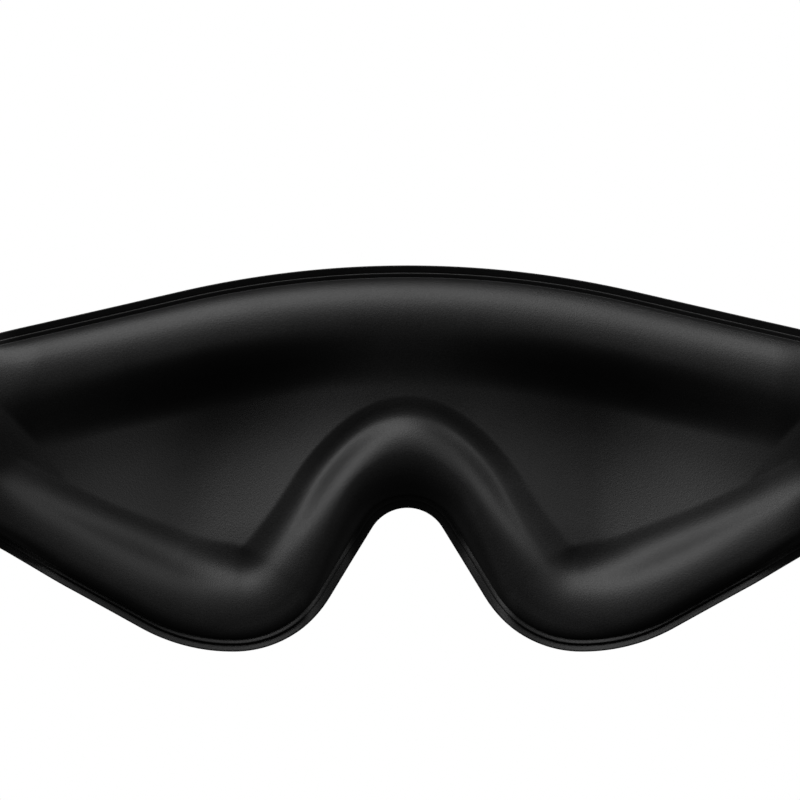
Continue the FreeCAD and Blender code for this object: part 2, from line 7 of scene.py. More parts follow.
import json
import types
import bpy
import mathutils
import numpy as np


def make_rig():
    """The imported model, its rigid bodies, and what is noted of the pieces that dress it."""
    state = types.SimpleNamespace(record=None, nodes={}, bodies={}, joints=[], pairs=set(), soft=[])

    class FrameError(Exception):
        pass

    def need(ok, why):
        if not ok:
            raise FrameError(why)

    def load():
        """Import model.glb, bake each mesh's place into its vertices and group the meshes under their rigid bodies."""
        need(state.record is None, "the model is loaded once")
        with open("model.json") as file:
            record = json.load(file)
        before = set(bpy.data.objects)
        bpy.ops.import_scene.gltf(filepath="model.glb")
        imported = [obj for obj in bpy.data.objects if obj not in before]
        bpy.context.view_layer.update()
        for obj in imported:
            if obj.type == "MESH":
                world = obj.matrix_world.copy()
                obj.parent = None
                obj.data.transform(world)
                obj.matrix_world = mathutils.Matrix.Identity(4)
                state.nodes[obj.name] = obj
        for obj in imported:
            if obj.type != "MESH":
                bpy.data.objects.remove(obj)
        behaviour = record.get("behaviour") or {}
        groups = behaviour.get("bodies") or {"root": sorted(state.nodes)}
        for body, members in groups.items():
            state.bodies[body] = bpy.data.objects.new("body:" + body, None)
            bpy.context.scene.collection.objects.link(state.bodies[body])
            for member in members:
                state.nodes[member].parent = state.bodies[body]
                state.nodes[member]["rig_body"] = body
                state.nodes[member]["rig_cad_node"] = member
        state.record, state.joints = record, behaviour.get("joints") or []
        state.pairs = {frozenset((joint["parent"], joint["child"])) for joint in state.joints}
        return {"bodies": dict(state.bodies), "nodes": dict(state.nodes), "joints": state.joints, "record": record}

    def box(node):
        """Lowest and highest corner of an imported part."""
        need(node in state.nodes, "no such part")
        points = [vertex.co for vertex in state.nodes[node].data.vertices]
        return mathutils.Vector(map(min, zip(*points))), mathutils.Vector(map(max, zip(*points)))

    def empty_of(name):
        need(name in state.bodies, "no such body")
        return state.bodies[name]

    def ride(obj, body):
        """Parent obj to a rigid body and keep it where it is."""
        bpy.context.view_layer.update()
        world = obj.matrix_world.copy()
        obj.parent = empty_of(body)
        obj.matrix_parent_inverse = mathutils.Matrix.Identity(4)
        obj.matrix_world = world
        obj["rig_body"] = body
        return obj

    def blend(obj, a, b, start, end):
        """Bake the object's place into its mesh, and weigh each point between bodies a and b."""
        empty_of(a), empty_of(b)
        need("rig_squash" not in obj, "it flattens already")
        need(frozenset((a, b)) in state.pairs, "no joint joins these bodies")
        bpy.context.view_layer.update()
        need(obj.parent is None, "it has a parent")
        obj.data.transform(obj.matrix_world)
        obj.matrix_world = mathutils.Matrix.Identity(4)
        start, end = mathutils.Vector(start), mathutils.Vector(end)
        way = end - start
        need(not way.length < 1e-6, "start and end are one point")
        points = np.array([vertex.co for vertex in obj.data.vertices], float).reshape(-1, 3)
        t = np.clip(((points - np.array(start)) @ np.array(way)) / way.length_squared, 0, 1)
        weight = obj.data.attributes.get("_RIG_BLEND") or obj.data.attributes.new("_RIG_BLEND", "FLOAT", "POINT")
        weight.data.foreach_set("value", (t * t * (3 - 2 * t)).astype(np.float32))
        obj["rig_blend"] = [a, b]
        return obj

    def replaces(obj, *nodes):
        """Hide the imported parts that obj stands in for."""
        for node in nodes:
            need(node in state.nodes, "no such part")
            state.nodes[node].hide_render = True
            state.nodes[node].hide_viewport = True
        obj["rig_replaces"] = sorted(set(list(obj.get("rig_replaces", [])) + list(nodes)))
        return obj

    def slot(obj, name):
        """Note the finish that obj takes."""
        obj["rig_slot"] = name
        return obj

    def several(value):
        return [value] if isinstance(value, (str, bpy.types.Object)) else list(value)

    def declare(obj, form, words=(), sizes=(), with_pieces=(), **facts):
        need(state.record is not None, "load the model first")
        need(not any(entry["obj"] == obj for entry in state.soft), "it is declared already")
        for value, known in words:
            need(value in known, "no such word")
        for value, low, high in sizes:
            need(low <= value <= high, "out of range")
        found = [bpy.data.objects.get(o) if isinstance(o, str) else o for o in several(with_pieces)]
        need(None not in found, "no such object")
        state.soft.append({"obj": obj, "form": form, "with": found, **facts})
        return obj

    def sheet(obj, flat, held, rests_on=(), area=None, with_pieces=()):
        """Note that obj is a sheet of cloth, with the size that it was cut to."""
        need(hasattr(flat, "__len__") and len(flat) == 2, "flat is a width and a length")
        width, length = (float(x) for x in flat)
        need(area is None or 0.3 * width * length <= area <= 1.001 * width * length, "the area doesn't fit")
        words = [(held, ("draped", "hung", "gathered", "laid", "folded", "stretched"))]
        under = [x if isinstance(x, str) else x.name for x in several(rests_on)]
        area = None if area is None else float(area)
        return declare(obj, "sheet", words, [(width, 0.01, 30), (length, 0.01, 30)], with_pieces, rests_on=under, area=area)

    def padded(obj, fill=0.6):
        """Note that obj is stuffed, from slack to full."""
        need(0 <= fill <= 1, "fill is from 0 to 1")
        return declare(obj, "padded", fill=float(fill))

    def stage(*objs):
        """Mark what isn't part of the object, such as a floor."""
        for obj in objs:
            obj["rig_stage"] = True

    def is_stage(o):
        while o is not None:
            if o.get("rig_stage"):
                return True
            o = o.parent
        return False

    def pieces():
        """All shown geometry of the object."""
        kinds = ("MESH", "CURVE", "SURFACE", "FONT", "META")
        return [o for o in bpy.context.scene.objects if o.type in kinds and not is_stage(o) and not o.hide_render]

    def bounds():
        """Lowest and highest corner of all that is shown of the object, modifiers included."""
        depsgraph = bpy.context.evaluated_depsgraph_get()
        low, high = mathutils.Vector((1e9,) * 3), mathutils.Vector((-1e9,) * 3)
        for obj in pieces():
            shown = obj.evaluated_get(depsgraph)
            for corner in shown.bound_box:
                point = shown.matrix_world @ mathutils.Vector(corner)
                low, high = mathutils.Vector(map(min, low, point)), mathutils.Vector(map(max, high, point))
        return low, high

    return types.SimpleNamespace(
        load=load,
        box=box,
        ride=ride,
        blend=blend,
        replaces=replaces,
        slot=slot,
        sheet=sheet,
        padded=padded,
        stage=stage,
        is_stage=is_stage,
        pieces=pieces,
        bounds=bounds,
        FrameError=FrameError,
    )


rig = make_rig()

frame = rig.load()
CAD_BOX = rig.bounds()

import json
import logging
import math
import random
from collections.abc import Callable, Sequence
from dataclasses import dataclass, field
from enum import Enum

import bmesh
import bpy
import numpy as np
from mathutils import Matrix, Vector

MM = 0.001
SIZE_FILE = "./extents.json"
COVER_SEAT = 10.784  # the inner side of the cover over the nose bridge, along Y
ANCHOR_HEADING = math.radians(-21.0444)
TEMPLE_HEADING = math.radians(-93.0)
REAR_HEADING = math.radians(-101.0)
ARC_POINTS = 41
NEARBY = 0.05  # how far to each side a line's direction is taken
log = logging.getLogger("eye_mask")


class Side(Enum):
    """The wearer's side that a band is on, by the sign of X."""

    LEFT = -1
    RIGHT = 1

    @property
    def word(self) -> str:
        """The side's name as the bodies and nodes spell it."""
        return self.name.lower()


class Zone(Enum):
    """The part of the outline that an edge belongs to."""

    TOP = "top"
    END = "end"
    LOWER = "lower"


# ---------------------------------------------------------------- curves


def smooth(share: np.ndarray) -> np.ndarray:
    """0 below 0, 1 above 1, with level ends between."""
    share = np.clip(share, 0.0, 1.0)
    return share * share * (3.0 - 2.0 * share)


def hump(offset: np.ndarray, reach: float) -> np.ndarray:
    """A bell that is 1 at no offset."""
    return np.exp(-((offset / reach) ** 2))


def roll(share: np.ndarray) -> np.ndarray:
    """A quarter ellipse: upright at 0, level at 1."""
    return np.sqrt(1.0 - (1.0 - np.clip(share, 0.0, 1.0)) ** 2)


def on_circle(centre: Sequence[float], radius: float, angle: float) -> np.ndarray:
    """The point of a circle at an angle in radians."""
    return np.array([centre[0] + radius * math.cos(angle), centre[1] + radius * math.sin(angle)])


def lengths_along(points: np.ndarray) -> np.ndarray:
    """How far along the line through them each point is."""
    steps = np.linalg.norm(np.diff(points, axis=0), axis=1)
    return np.concatenate([[0.0], np.cumsum(steps)])


def between(along: np.ndarray, lengths: np.ndarray, points: np.ndarray) -> np.ndarray:
    """Places on a line of points, a way along it.

    Args:
        along: how far along each place is.
        lengths: how far along each point of the line is.
        points: the line's points, one row each.

    Returns:
        The places, one row each.
    """
    return np.stack([np.interp(along, lengths, points[:, k]) for k in range(2)], axis=1)


@dataclass(frozen=True)
class Edge:
    """One straight or round edge of the right half of the outline.

    turn is 1 where the outline is rounded outwards, -1 where it is hollow, 0 where straight.
    """

    zone: Zone
    start: np.ndarray
    stop: np.ndarray
    centre: np.ndarray | None = None
    radius: float = 0.0
    turn: int = 0

    def sample(self, count: int) -> np.ndarray:
        """Points along the edge.

        Args:
            count: how many points, both ends among them.

        Returns:
            The points, one row each.
        """
        share = np.linspace(0.0, 1.0, count)
        if not self.turn:
            return self.start + share[:, None] * (self.stop - self.start)
        first, last = self._bearings()
        angle = first + share * (last - first)
        return self.centre + self.radius * np.stack([np.cos(angle), np.sin(angle)], axis=1)

    def _bearings(self) -> tuple[float, float]:
        """The two ends' bearings from the centre, in radians."""
        first, last = (math.atan2(*(end - self.centre)[::-1]) for end in (self.start, self.stop))
        return first, last

    def reach(self, points: np.ndarray) -> tuple[np.ndarray, np.ndarray]:
        """How far points are from the edge.

        Args:
            points: places in the right half.

        Returns:
            The distances, and the outward direction at the nearest place of the edge.
        """
        if not self.turn:
            run = self.stop - self.start
            share = np.clip(((points - self.start) @ run) / (run @ run), 0.0, 1.0)
            off = self.start + share[:, None] * run - points
            out = np.array([-run[1], run[0]]) / np.linalg.norm(run)
            return np.linalg.norm(off, axis=1), np.tile(out, (len(points), 1))
        spoke = points - self.centre
        length = np.maximum(np.linalg.norm(spoke, axis=1), 1e-9)
        bearing = np.arctan2(spoke[:, 1], spoke[:, 0])
        ends = sorted(self._bearings())
        to_ends = [np.linalg.norm(points - end, axis=1) for end in (self.start, self.stop)]
        within = (bearing >= ends[0]) & (bearing <= ends[1])
        distance = np.where(within, np.abs(length - self.radius), np.minimum(*to_ends))
        return distance, self.turn * spoke / length[:, None]


@dataclass(frozen=True)
class Depths:
    """How far places are from each zone's edges, and which way is out there."""

    depth: dict[Zone, np.ndarray]
    out: dict[Zone, np.ndarray]

    @property
    def least(self) -> np.ndarray:
        """The distance to the nearest edge of all."""
        return np.minimum.reduce([self.depth[zone] for zone in Zone])

    @property
    def outward(self) -> np.ndarray:
        """The outward direction at the nearest edge of all."""
        found = self.out[Zone.END]
        for zone in (Zone.TOP, Zone.LOWER):
            found = np.where((self.depth[zone] <= self.least)[:, None], self.out[zone], found)
        return found


@dataclass(frozen=True)
class Outline:
    """The mask's outline, seen from the face, which is the same on both sides."""

    half_width: float
    crown_rise: float
    lobe_drop: float
    crown_radius: float = 262.0
    brow_slope: float = math.radians(13.6)
    corner_radius: float = 14.0
    wing_angle: float = math.radians(29.5)
    lobe_offset: float = 46.0
    lobe_inner_radius: float = 29.5
    lobe_outer_radius: float = 51.0
    nose_radius: float = 11.2
    nose_drop: float = 20.0
    rise_share: float = 0.15
    samples: int = 80
    upper_corner: int = 2
    lower_corner: int = 4

    def edges(self, inset: float = 0.0) -> list[Edge]:
        """The right half's edges, from the middle of the crown round to the nose.

        Args:
            inset: how far the outline is moved in.

        Returns:
            The edges in order.
        """
        crown, corner = self.crown_radius - inset, self.corner_radius - inset
        outer, inner = self.lobe_outer_radius - inset, self.lobe_inner_radius - inset
        nose = self.nose_radius + inset
        brow, wing = math.pi / 2 - self.brow_slope, self.wing_angle - math.pi / 2
        crown_at = np.array([0.0, self.crown_rise - self.crown_radius])
        outer_at = np.array([self.lobe_offset, self.lobe_outer_radius - self.lobe_drop])
        inner_at = np.array([self.lobe_offset, self.lobe_inner_radius - self.lobe_drop])
        nose_at = np.array([0.0, -self.nose_drop - self.nose_radius])
        upper_at = self._corner(crown_at, crown, corner, brow)
        lower_at = self._corner(outer_at, outer, corner, wing)
        across = inner_at - nose_at
        flank = math.atan2(across[1], across[0])
        flank += math.acos((nose + inner) / float(np.linalg.norm(across)))
        points = [
            on_circle(crown_at, crown, math.pi / 2),
            on_circle(crown_at, crown, brow),
            on_circle(upper_at, corner, brow),
            on_circle(upper_at, corner, 0.0),
            on_circle(lower_at, corner, 0.0),
            on_circle(lower_at, corner, wing),
            on_circle(outer_at, outer, wing),
            on_circle(outer_at, outer, -math.pi / 2),
            on_circle(inner_at, inner, flank + math.pi),
            on_circle(nose_at, nose, flank),
            on_circle(nose_at, nose, math.pi / 2),
        ]
        kinds = [
            (Zone.TOP, crown_at, crown, 1),
            (Zone.TOP, None, 0.0, 0),
            (Zone.TOP, upper_at, corner, 1),
            (Zone.END, None, 0.0, 0),
            (Zone.LOWER, lower_at, corner, 1),
            (Zone.LOWER, None, 0.0, 0),
            (Zone.LOWER, outer_at, outer, 1),
            (Zone.LOWER, inner_at, inner, 1),
            (Zone.LOWER, None, 0.0, 0),
            (Zone.LOWER, nose_at, nose, -1),
        ]
        return [
            Edge(zone, start, stop, centre, radius, turn)
            for (zone, centre, radius, turn), start, stop in zip(kinds, points, points[1:])
        ]

    def _corner(self, centre: np.ndarray, radius: float, corner: float, angle: float) -> np.ndarray:
        """The centre of an end's corner that a straight edge joins to a larger arc."""
        out = np.array([math.cos(angle), math.sin(angle)])
        x = self.half_width - self.corner_radius
        z = (centre @ out + radius - corner - x * out[0]) / out[1]
        return np.array([x, z])

    def _right_run(self, edges: Sequence[Edge], first: int, last: int) -> np.ndarray:
        """Points along edges, from or to the middle of a corner where the run ends at one."""
        corners = (self.upper_corner, self.lower_corner)
        half = self.samples // 2
        parts = [edge.sample(self.samples + 1)[:-1] for edge in edges[first : last + 1]]
        if first in corners:
            parts[0] = parts[0][half:]
        if last in corners:
            parts[-1] = parts[-1][: half + 1]
        else:
            parts.append(edges[last].stop[None])
        return np.concatenate(parts)

    def _spread(self, run: np.ndarray, share: np.ndarray) -> np.ndarray:
        """Points at even shares of a run, counted mostly by how far it goes sideways."""
        step = np.abs(np.diff(run, axis=0)) @ np.array([1.0, self.rise_share])
        along = np.concatenate([[0.0], np.cumsum(step)])
        return between(share, along / along[-1], run)

    def patch(self, u: np.ndarray, v: np.ndarray, inset: float) -> np.ndarray:
        """Places in the moved-in outline of an even square's points.

        Args:
            u: shares from the left end to the right.
            v: shares from the lower edge to the top.
            inset: how far the outline is moved in.

        Returns:
            The places, one row each.
        """
        edges = self.edges(inset)
        mirror = np.array([-1.0, 1.0])
        top_right = self._right_run(edges, 0, self.upper_corner)
        low_right = self._right_run(edges, self.lower_corner, len(edges) - 1)[::-1]
        end_right = self._right_run(edges, self.upper_corner, self.lower_corner)[::-1]
        top = self._spread(np.concatenate([top_right[:0:-1] * mirror, top_right]), u)
        low = self._spread(np.concatenate([low_right[:0:-1] * mirror, low_right]), u)
        along = lengths_along(end_right)
        right = between(v, along / along[-1], end_right)
        left = right * mirror
        u, v = u[:, None], v[:, None]
        foot, head = end_right[0], end_right[-1]
        corners = (1 - v) * ((1 - u) * foot * mirror + u * foot)
        corners += v * ((1 - u) * head * mirror + u * head)
        return (1 - v) * low + v * top + (1 - u) * left + u * right - corners

    def nearest(self, points: np.ndarray) -> Depths:
        """How deep points lie within the outline.

        Args:
            points: places, one row each.

        Returns:
            The distance to each zone's nearest edge, and the outward direction there.
        """
        side = np.where(points[:, 0] < 0, -1.0, 1.0)
        right = np.stack([np.abs(points[:, 0]), points[:, 1]], axis=1)
        depth = {zone: np.full(len(points), np.inf) for zone in Zone}
        out = {zone: np.zeros((len(points), 2)) for zone in Zone}
        for edge in self.edges():
            distance, outward = edge.reach(right)
            nearer = distance < depth[edge.zone]
            depth[edge.zone] = np.where(nearer, distance, depth[edge.zone])
            out[edge.zone] = np.where(nearer[:, None], outward, out[edge.zone])
        for outward in out.values():
            outward[:, 0] *= side
        return Depths(depth, out)

    def area(self) -> float:
        """The outline's flat area in square millimetres."""
        run = np.concatenate([edge.sample(40) for edge in self.edges()])
        x, z = run[:, 0], run[:, 1]
        return float(abs(np.sum((x[:-1] + x[1:]) * np.diff(z))))


# ---------------------------------------------------------------- relief


@dataclass(frozen=True)
class Fall:
    """How a surface falls away from a line: how steep it is at distances from that line."""

    places: tuple[float, ...]
    steepness: tuple[float, ...]
    samples: int = 400

    def drop(self, place: np.ndarray) -> np.ndarray:
        """How far the surface has fallen, at distances from the line."""
        fine = np.linspace(0.0, self.places[-1], self.samples)
        steep = np.interp(fine, self.places, self.steepness)
        steps = (steep[1:] + steep[:-1]) / 2.0 * np.diff(fine)
        return np.interp(place, fine, np.concatenate([[0.0], np.cumsum(steps)]))


# The ridges' falls go by shares of the ridge's width, and the floor's rise by millimetres.
LOBE_FALL = Fall(
    (0.0, 0.08, 0.2, 0.31, 0.42, 0.52, 0.6, 0.68, 0.78, 0.88, 1.0, 1.13),
    (0.0, 0.05, 0.13, 0.21, 0.33, 0.48, 0.64, 0.58, 0.38, 0.22, 0.1, 0.12),
)
NOSE_FALL = Fall(
    (0.0, 0.08, 0.22, 0.37, 0.52, 0.67, 0.81, 0.96, 1.11, 1.26, 1.41),
    (0.0, 0.13, 0.26, 0.4, 0.54, 0.42, 0.08, -0.16, -0.1, 0.1, 0.18),
)
BROW_FALL = Fall((0.0, 0.12, 0.28, 0.5, 0.72, 0.88, 1.0), (0.0, 0.4, 0.95, 1.25, 0.95, 0.35, 0.0))
FLOOR_RISE = Fall(
    (0.0, 6.0, 12.0, 18.0, 25.0, 32.0, 38.0, 44.0, 60.0),
    (0.0, 0.08, 0.19, 0.28, 0.34, 0.38, 0.34, 0.22, 0.18),
)


@dataclass(frozen=True)
class Relief:
    """The moulded shape: how the layers curve round the face, and how thick the foam is."""

    outline: Outline
    seat: float
    head_radius: float = 330.0
    flange: float = 3.3
    curl_slope: float = math.tan(math.radians(27.0))
    low_crest: float = 6.8
    nose_crest: float = 8.3
    nose_crest_reach: float = 22.0
    low_groove: float = 21.8
    nose_groove: float = 6.8
    nose_groove_reach: float = 20.0
    lobe_groove: float = 4.3
    lobe_at: float = 50.0
    lobe_reach: tuple[float, float] = (15.0, 24.0)
    nose_reach: float = 36.0
    lip: float = 1.13
    brow_crest: float = 16.0
    brow_width: float = 17.0
    brow_height: float = 9.2
    ridge_height: float = 13.0
    nose_sink: float = 3.3
    wing_sink: float = 5.0
    wing_share: float = 0.43
    least_foam: float = 1.6
    pit: float = -5.1
    bridge: float = 11.0
    bridge_reach: float = 37.0
    wing_rise: float = 8.6
    wing_start: float = 50.0
    wing_length: float = 50.0
    pit_depth: float = 32.5
    pit_nearer: float = 2.5
    edge_lift: float = 11.2
    lift_depth: float = 24.0
    lift_run: float = 18.0
    lift_from: float = 14.0
    lift_ease: float = 15.0
    lift_to: float = 108.0
    curl_to: float = 112.0
    curl_ease: float = 10.0
    end_height: float = 2.6
    end_roll: float = 7.0
    taper_start: float = 121.0
    taper_length: float = 24.0
    front_start: float = 108.2
    front_length: float = 24.0
    bulge: float = 2.5
    bulge_roll: float = 26.0
    dome: float = 5.5
    dome_x: float = 40.0
    dome_reach: tuple[float, float] = (30.0, 26.0)

    def bulging(self, points: np.ndarray, nearest: np.ndarray) -> np.ndarray:
        """How far the front stands out from its curve, at places that deep in the outline."""
        x, z = np.abs(points[:, 0]), points[:, 1]
        taper = smooth((self.front_start - x) / self.front_length)
        dome = hump(x - self.dome_x, self.dome_reach[0]) * hump(z, self.dome_reach[1])
        return (self.bulge + self.dome * dome) * taper * smooth(nearest / self.bulge_roll)

    def wing(self, x: np.ndarray) -> np.ndarray:
        """How much a place belongs to a wing, from 0 at the lobes to 1 at the ends."""
        return smooth((x - self.wing_start) / self.wing_length)

    def lift(self, x: np.ndarray, low: np.ndarray) -> np.ndarray:
        """How far the lower edge of the lobes and wings turns in towards the cheeks."""
        along = smooth((x - self.lift_from) / self.lift_ease)
        along *= smooth((self.lift_to - x) / self.lift_run)
        along *= 1.0 - self.wing_share * self.wing(x)
        return self.edge_lift * along * smooth((self.lift_depth - low) / self.lift_run)

    def front(self, points: np.ndarray) -> np.ndarray:
        """Where the inner side of the cover lies, along Y, at places in the outline."""
        near = self.outline.nearest(points)
        x = np.abs(points[:, 0])
        curl = np.clip(self.flange - near.least, 0.0, None) * self.curl_slope
        at_nose = hump(x, self.nose_crest_reach) * (points[:, 1] < 0.0)
        curl *= smooth((self.curl_to - x) / self.curl_ease) * (1.0 - at_nose)
        sweep = self.head_radius - np.sqrt(self.head_radius**2 - x**2)
        turned = self.lift(x, near.depth[Zone.LOWER])
        return self.seat + self.bulging(points, near.least) - sweep - curl - turned

    def floor(self, x: np.ndarray, top: np.ndarray) -> np.ndarray:
        """The cavity floor's height: deepest under the brow, and rising to the lower ridge."""
        bridge = hump(x, self.bridge_reach)
        deepest = self.pit_depth - self.pit_nearer * bridge
        rise = FLOOR_RISE.drop(np.clip(top - deepest, 0.0, None))
        return self.pit + self.bridge * bridge + self.wing_rise * self.wing(x) + rise

    def _ridge_width(self, foot_x: np.ndarray, crest: np.ndarray) -> np.ndarray:
        """From the lower ridge's crest to the groove inside it."""
        reach = np.where(foot_x < self.lobe_at, *self.lobe_reach)
        groove = self.low_groove + self.nose_groove * hump(foot_x, self.nose_groove_reach)
        return groove + self.lobe_groove * hump(foot_x - self.lobe_at, reach) - crest

    def _low_side(self, points: np.ndarray, near: Depths) -> np.ndarray:
        """The height of the lower ridge, which falls to the floor inside its groove."""
        low, out = near.depth[Zone.LOWER], near.out[Zone.LOWER]
        crest = self.crest(np.abs(points[:, 0]))
        foot_x = np.abs(points[:, 0] - out[:, 0] * (self.low_groove - low))
        width = self._ridge_width(foot_x, crest)
        share = np.clip((low - crest) / width, 0.0, self.lip)
        nose = hump(foot_x, self.nose_reach)
        fallen = 0.0
        for weight, fall in ((1.0 - nose, LOBE_FALL), (nose, NOSE_FALL)):
            fallen = fallen + weight * fall.drop(share) / fall.drop(np.full(1, self.lip))
        within = np.clip(crest + self.lip * width - low, 0.0, None)
        foot = points - out * within[:, None]
        foot_top = self.outline.nearest(foot).depth[Zone.TOP]
        ground = self.floor(np.abs(foot[:, 0]), foot_top)
        ridge = self.ridge_height - self.nose_sink * nose - self.wing_sink * self.wing(foot_x)
        return ridge + (ground - ridge) * fallen

    def face(self, points: np.ndarray, near: Depths) -> np.ndarray:
        """The lining's height without its rolled edges: floor, lower ridge and brow."""
        inside = (near.depth[Zone.TOP] - self.brow_crest) / self.brow_width
        fallen = BROW_FALL.drop(np.clip(inside, 0.0, 1.0))
        brow = 1.0 - fallen / BROW_FALL.drop(np.ones(1))
        return brow * self.brow_height + (1.0 - brow) * self._low_side(points, near)

    def crest(self, x: np.ndarray) -> np.ndarray:
        """How far inside the lower edge the ridge's crest is."""
        return self.low_crest + self.nose_crest * hump(x, self.nose_crest_reach)

    def thickness(self, points: np.ndarray) -> np.ndarray:
        """How far the foam lifts the lining from the cover at places in the outline."""
        near = self.outline.nearest(points)
        x = np.abs(points[:, 0])
        low, top, end = (near.depth[zone] for zone in (Zone.LOWER, Zone.TOP, Zone.END))
        crest = self.crest(x)
        taper = smooth((self.taper_start - x) / self.taper_length)
        full = self.face(points, near) + self.bulging(points, near.least) - self.lift(x, low)
        full = np.maximum(full, self.least_foam)
        lifted = self.end_height + (full - self.end_height) * taper
        rim = roll((low - self.flange) / (crest - self.flange))
        rim *= roll((top - self.flange) / (self.brow_crest - self.flange))
        rim *= roll((end - self.flange) / self.end_roll)
        return rim * lifted


# ---------------------------------------------------------------- finishes


class Recipe:
    """A material and its nodes while they are put together."""

    def __init__(self, name: str) -> None:
        """Start a material with nothing but its output."""
        self.material = bpy.data.materials.new(name)
        self.material.use_nodes = True
        self.nodes = self.material.node_tree.nodes
        self.links = self.material.node_tree.links
        self.nodes.clear()
        self.output = self.nodes.new("ShaderNodeOutputMaterial")

    def node(self, kind: str, inputs: dict | None = None, **settings: object) -> bpy.types.Node:
        """Add a node.

        Args:
            kind: the node's type, without its ShaderNode.
            inputs: values or sockets for its inputs, by name or index.
            settings: its own settings.

        Returns:
            The node.
        """
        made = self.nodes.new("ShaderNode" + kind)
        for name, value in settings.items():
            setattr(made, name, value)
        for key, value in (inputs or {}).items():
            if isinstance(value, bpy.types.NodeSocket):
                self.links.new(value, made.inputs[key])
            else:
                made.inputs[key].default_value = value
        return made

    def math(self, operation: str, *values: object) -> bpy.types.NodeSocket:
        """The result of a Math node on values or sockets."""
        return self.node("Math", dict(enumerate(values)), operation=operation).outputs[0]

    def shade(self, shader: bpy.types.Node) -> bpy.types.Material:
        """Join the last shader to the output."""
        self.links.new(shader.outputs[0], self.output.inputs["Surface"])
        return self.material

    def ramp(self, fac: bpy.types.NodeSocket, colours: Sequence, ends: Sequence) -> object:
        """The socket of a colour that goes from one to another as a value goes between ends."""
        made = self.node("ValToRGB", {"Fac": fac})
        for stop, place, colour in zip(made.color_ramp.elements, ends, colours):
            stop.position = place
            stop.color = (*colour, 1.0)
        return made.outputs["Color"]

    def place(self) -> bpy.types.NodeSocket:
        """The place on the object, in metres."""
        return self.node("TexCoord").outputs["Object"]


@dataclass(frozen=True)
class KnitFinish:
    """A fine smooth black knit, pressed over foam, with a broad soft sheen."""

    name: str
    dark: tuple[float, float, float]
    light: tuple[float, float, float]
    roughness: tuple[float, float] = (0.44, 0.52)
    specular: float = 0.62
    grain: float = 3600.0
    loops: float = 1900.0
    relief: float = 0.00005
    clouds: float = 90.0
    cloud_share: float = 0.25
    ends: tuple[float, float] = (0.38, 0.62)

    def build(self) -> bpy.types.Material:
        """The finish as a material."""
        recipe = Recipe(self.name)
        place = recipe.place()
        speckle = recipe.node("TexNoise", {"Vector": place, "Scale": self.grain, "Detail": 1.0})
        cloud = recipe.node("TexNoise", {"Vector": place, "Scale": self.clouds, "Detail": 3.0})
        knit = recipe.node("TexVoronoi", {"Vector": place, "Scale": self.loops})
        fine = recipe.math("MULTIPLY", speckle.outputs["Fac"], 1.0 - self.cloud_share)
        mixed = recipe.math("MULTIPLY_ADD", cloud.outputs["Fac"], self.cloud_share, fine)
        colour = recipe.ramp(mixed, (self.dark, self.light), self.ends)
        rough = recipe.node("MapRange", {
            "Value": mixed, "From Min": self.ends[0], "From Max": self.ends[1],
            "To Min": self.roughness[0], "To Max": self.roughness[1]})
        height = recipe.math("ADD", knit.outputs["Distance"], speckle.outputs["Fac"])
        bump = recipe.node("Bump", {"Strength": 0.35, "Distance": self.relief, "Height": height})
        return recipe.shade(recipe.node("BsdfPrincipled", {
            "Base Color": colour, "Roughness": rough.outputs[0], "Normal": bump.outputs[0],
            "Specular IOR Level": self.specular}))


@dataclass(frozen=True)
class ElasticFinish:
    """A woven elastic: fine ribs along its run, crossed by the weft."""

    name: str = "woven_elastic"
    rib: float = 0.9
    weft: float = 0.55
    weft_share: float = 0.45
    fuzz: float = 2600.0
    dark: tuple[float, float, float] = (0.006, 0.006, 0.007)
    light: tuple[float, float, float] = (0.034, 0.034, 0.036)
    ends: tuple[float, float] = (0.2, 0.95)
    relief: float = 0.0002

    def build(self) -> bpy.types.Material:
        """The finish as a material, which reads the band's own run and rise."""
        recipe = Recipe(self.name)
        flat = recipe.node("UVMap", uv_map="run_rise").outputs[0]
        run, rise = recipe.node("SeparateXYZ", {"Vector": flat}).outputs[:2]
        turn = 2.0 * math.pi
        rib = recipe.math("SINE", recipe.math("MULTIPLY", rise, turn / (self.rib * MM)))
        half = recipe.math("MULTIPLY", rise, turn / (2.0 * self.rib * MM))
        sign = recipe.math("SIGN", recipe.math("SINE", half))
        shift = recipe.math("MULTIPLY", sign, math.pi / 2)
        weft = recipe.math("SINE", recipe.math("MULTIPLY_ADD", run, turn / (self.weft * MM), shift))
        rib_up = recipe.math("MULTIPLY_ADD", rib, 0.5, 0.5)
        weft_up = recipe.math("MULTIPLY_ADD", weft, 0.5, 0.5)
        weave = recipe.math("MULTIPLY_ADD", weft_up, self.weft_share, rib_up)
        fuzz = recipe.node(
            "TexNoise", {"Vector": recipe.place(), "Scale": self.fuzz, "Detail": 2.0})
        woven = recipe.math("MULTIPLY", weave, 0.5)
        level = recipe.math("MULTIPLY_ADD", fuzz.outputs["Fac"], 0.5, woven)
        colour = recipe.ramp(level, (self.dark, self.light), self.ends)
        bump = recipe.node("Bump", {"Strength": 0.7, "Distance": self.relief, "Height": level})
        return recipe.shade(recipe.node("BsdfPrincipled", {
            "Base Color": colour, "Roughness": 0.62, "Normal": bump.outputs[0],
            "Specular IOR Level": 0.45, "Sheen Weight": 0.06, "Sheen Roughness": 0.5}))


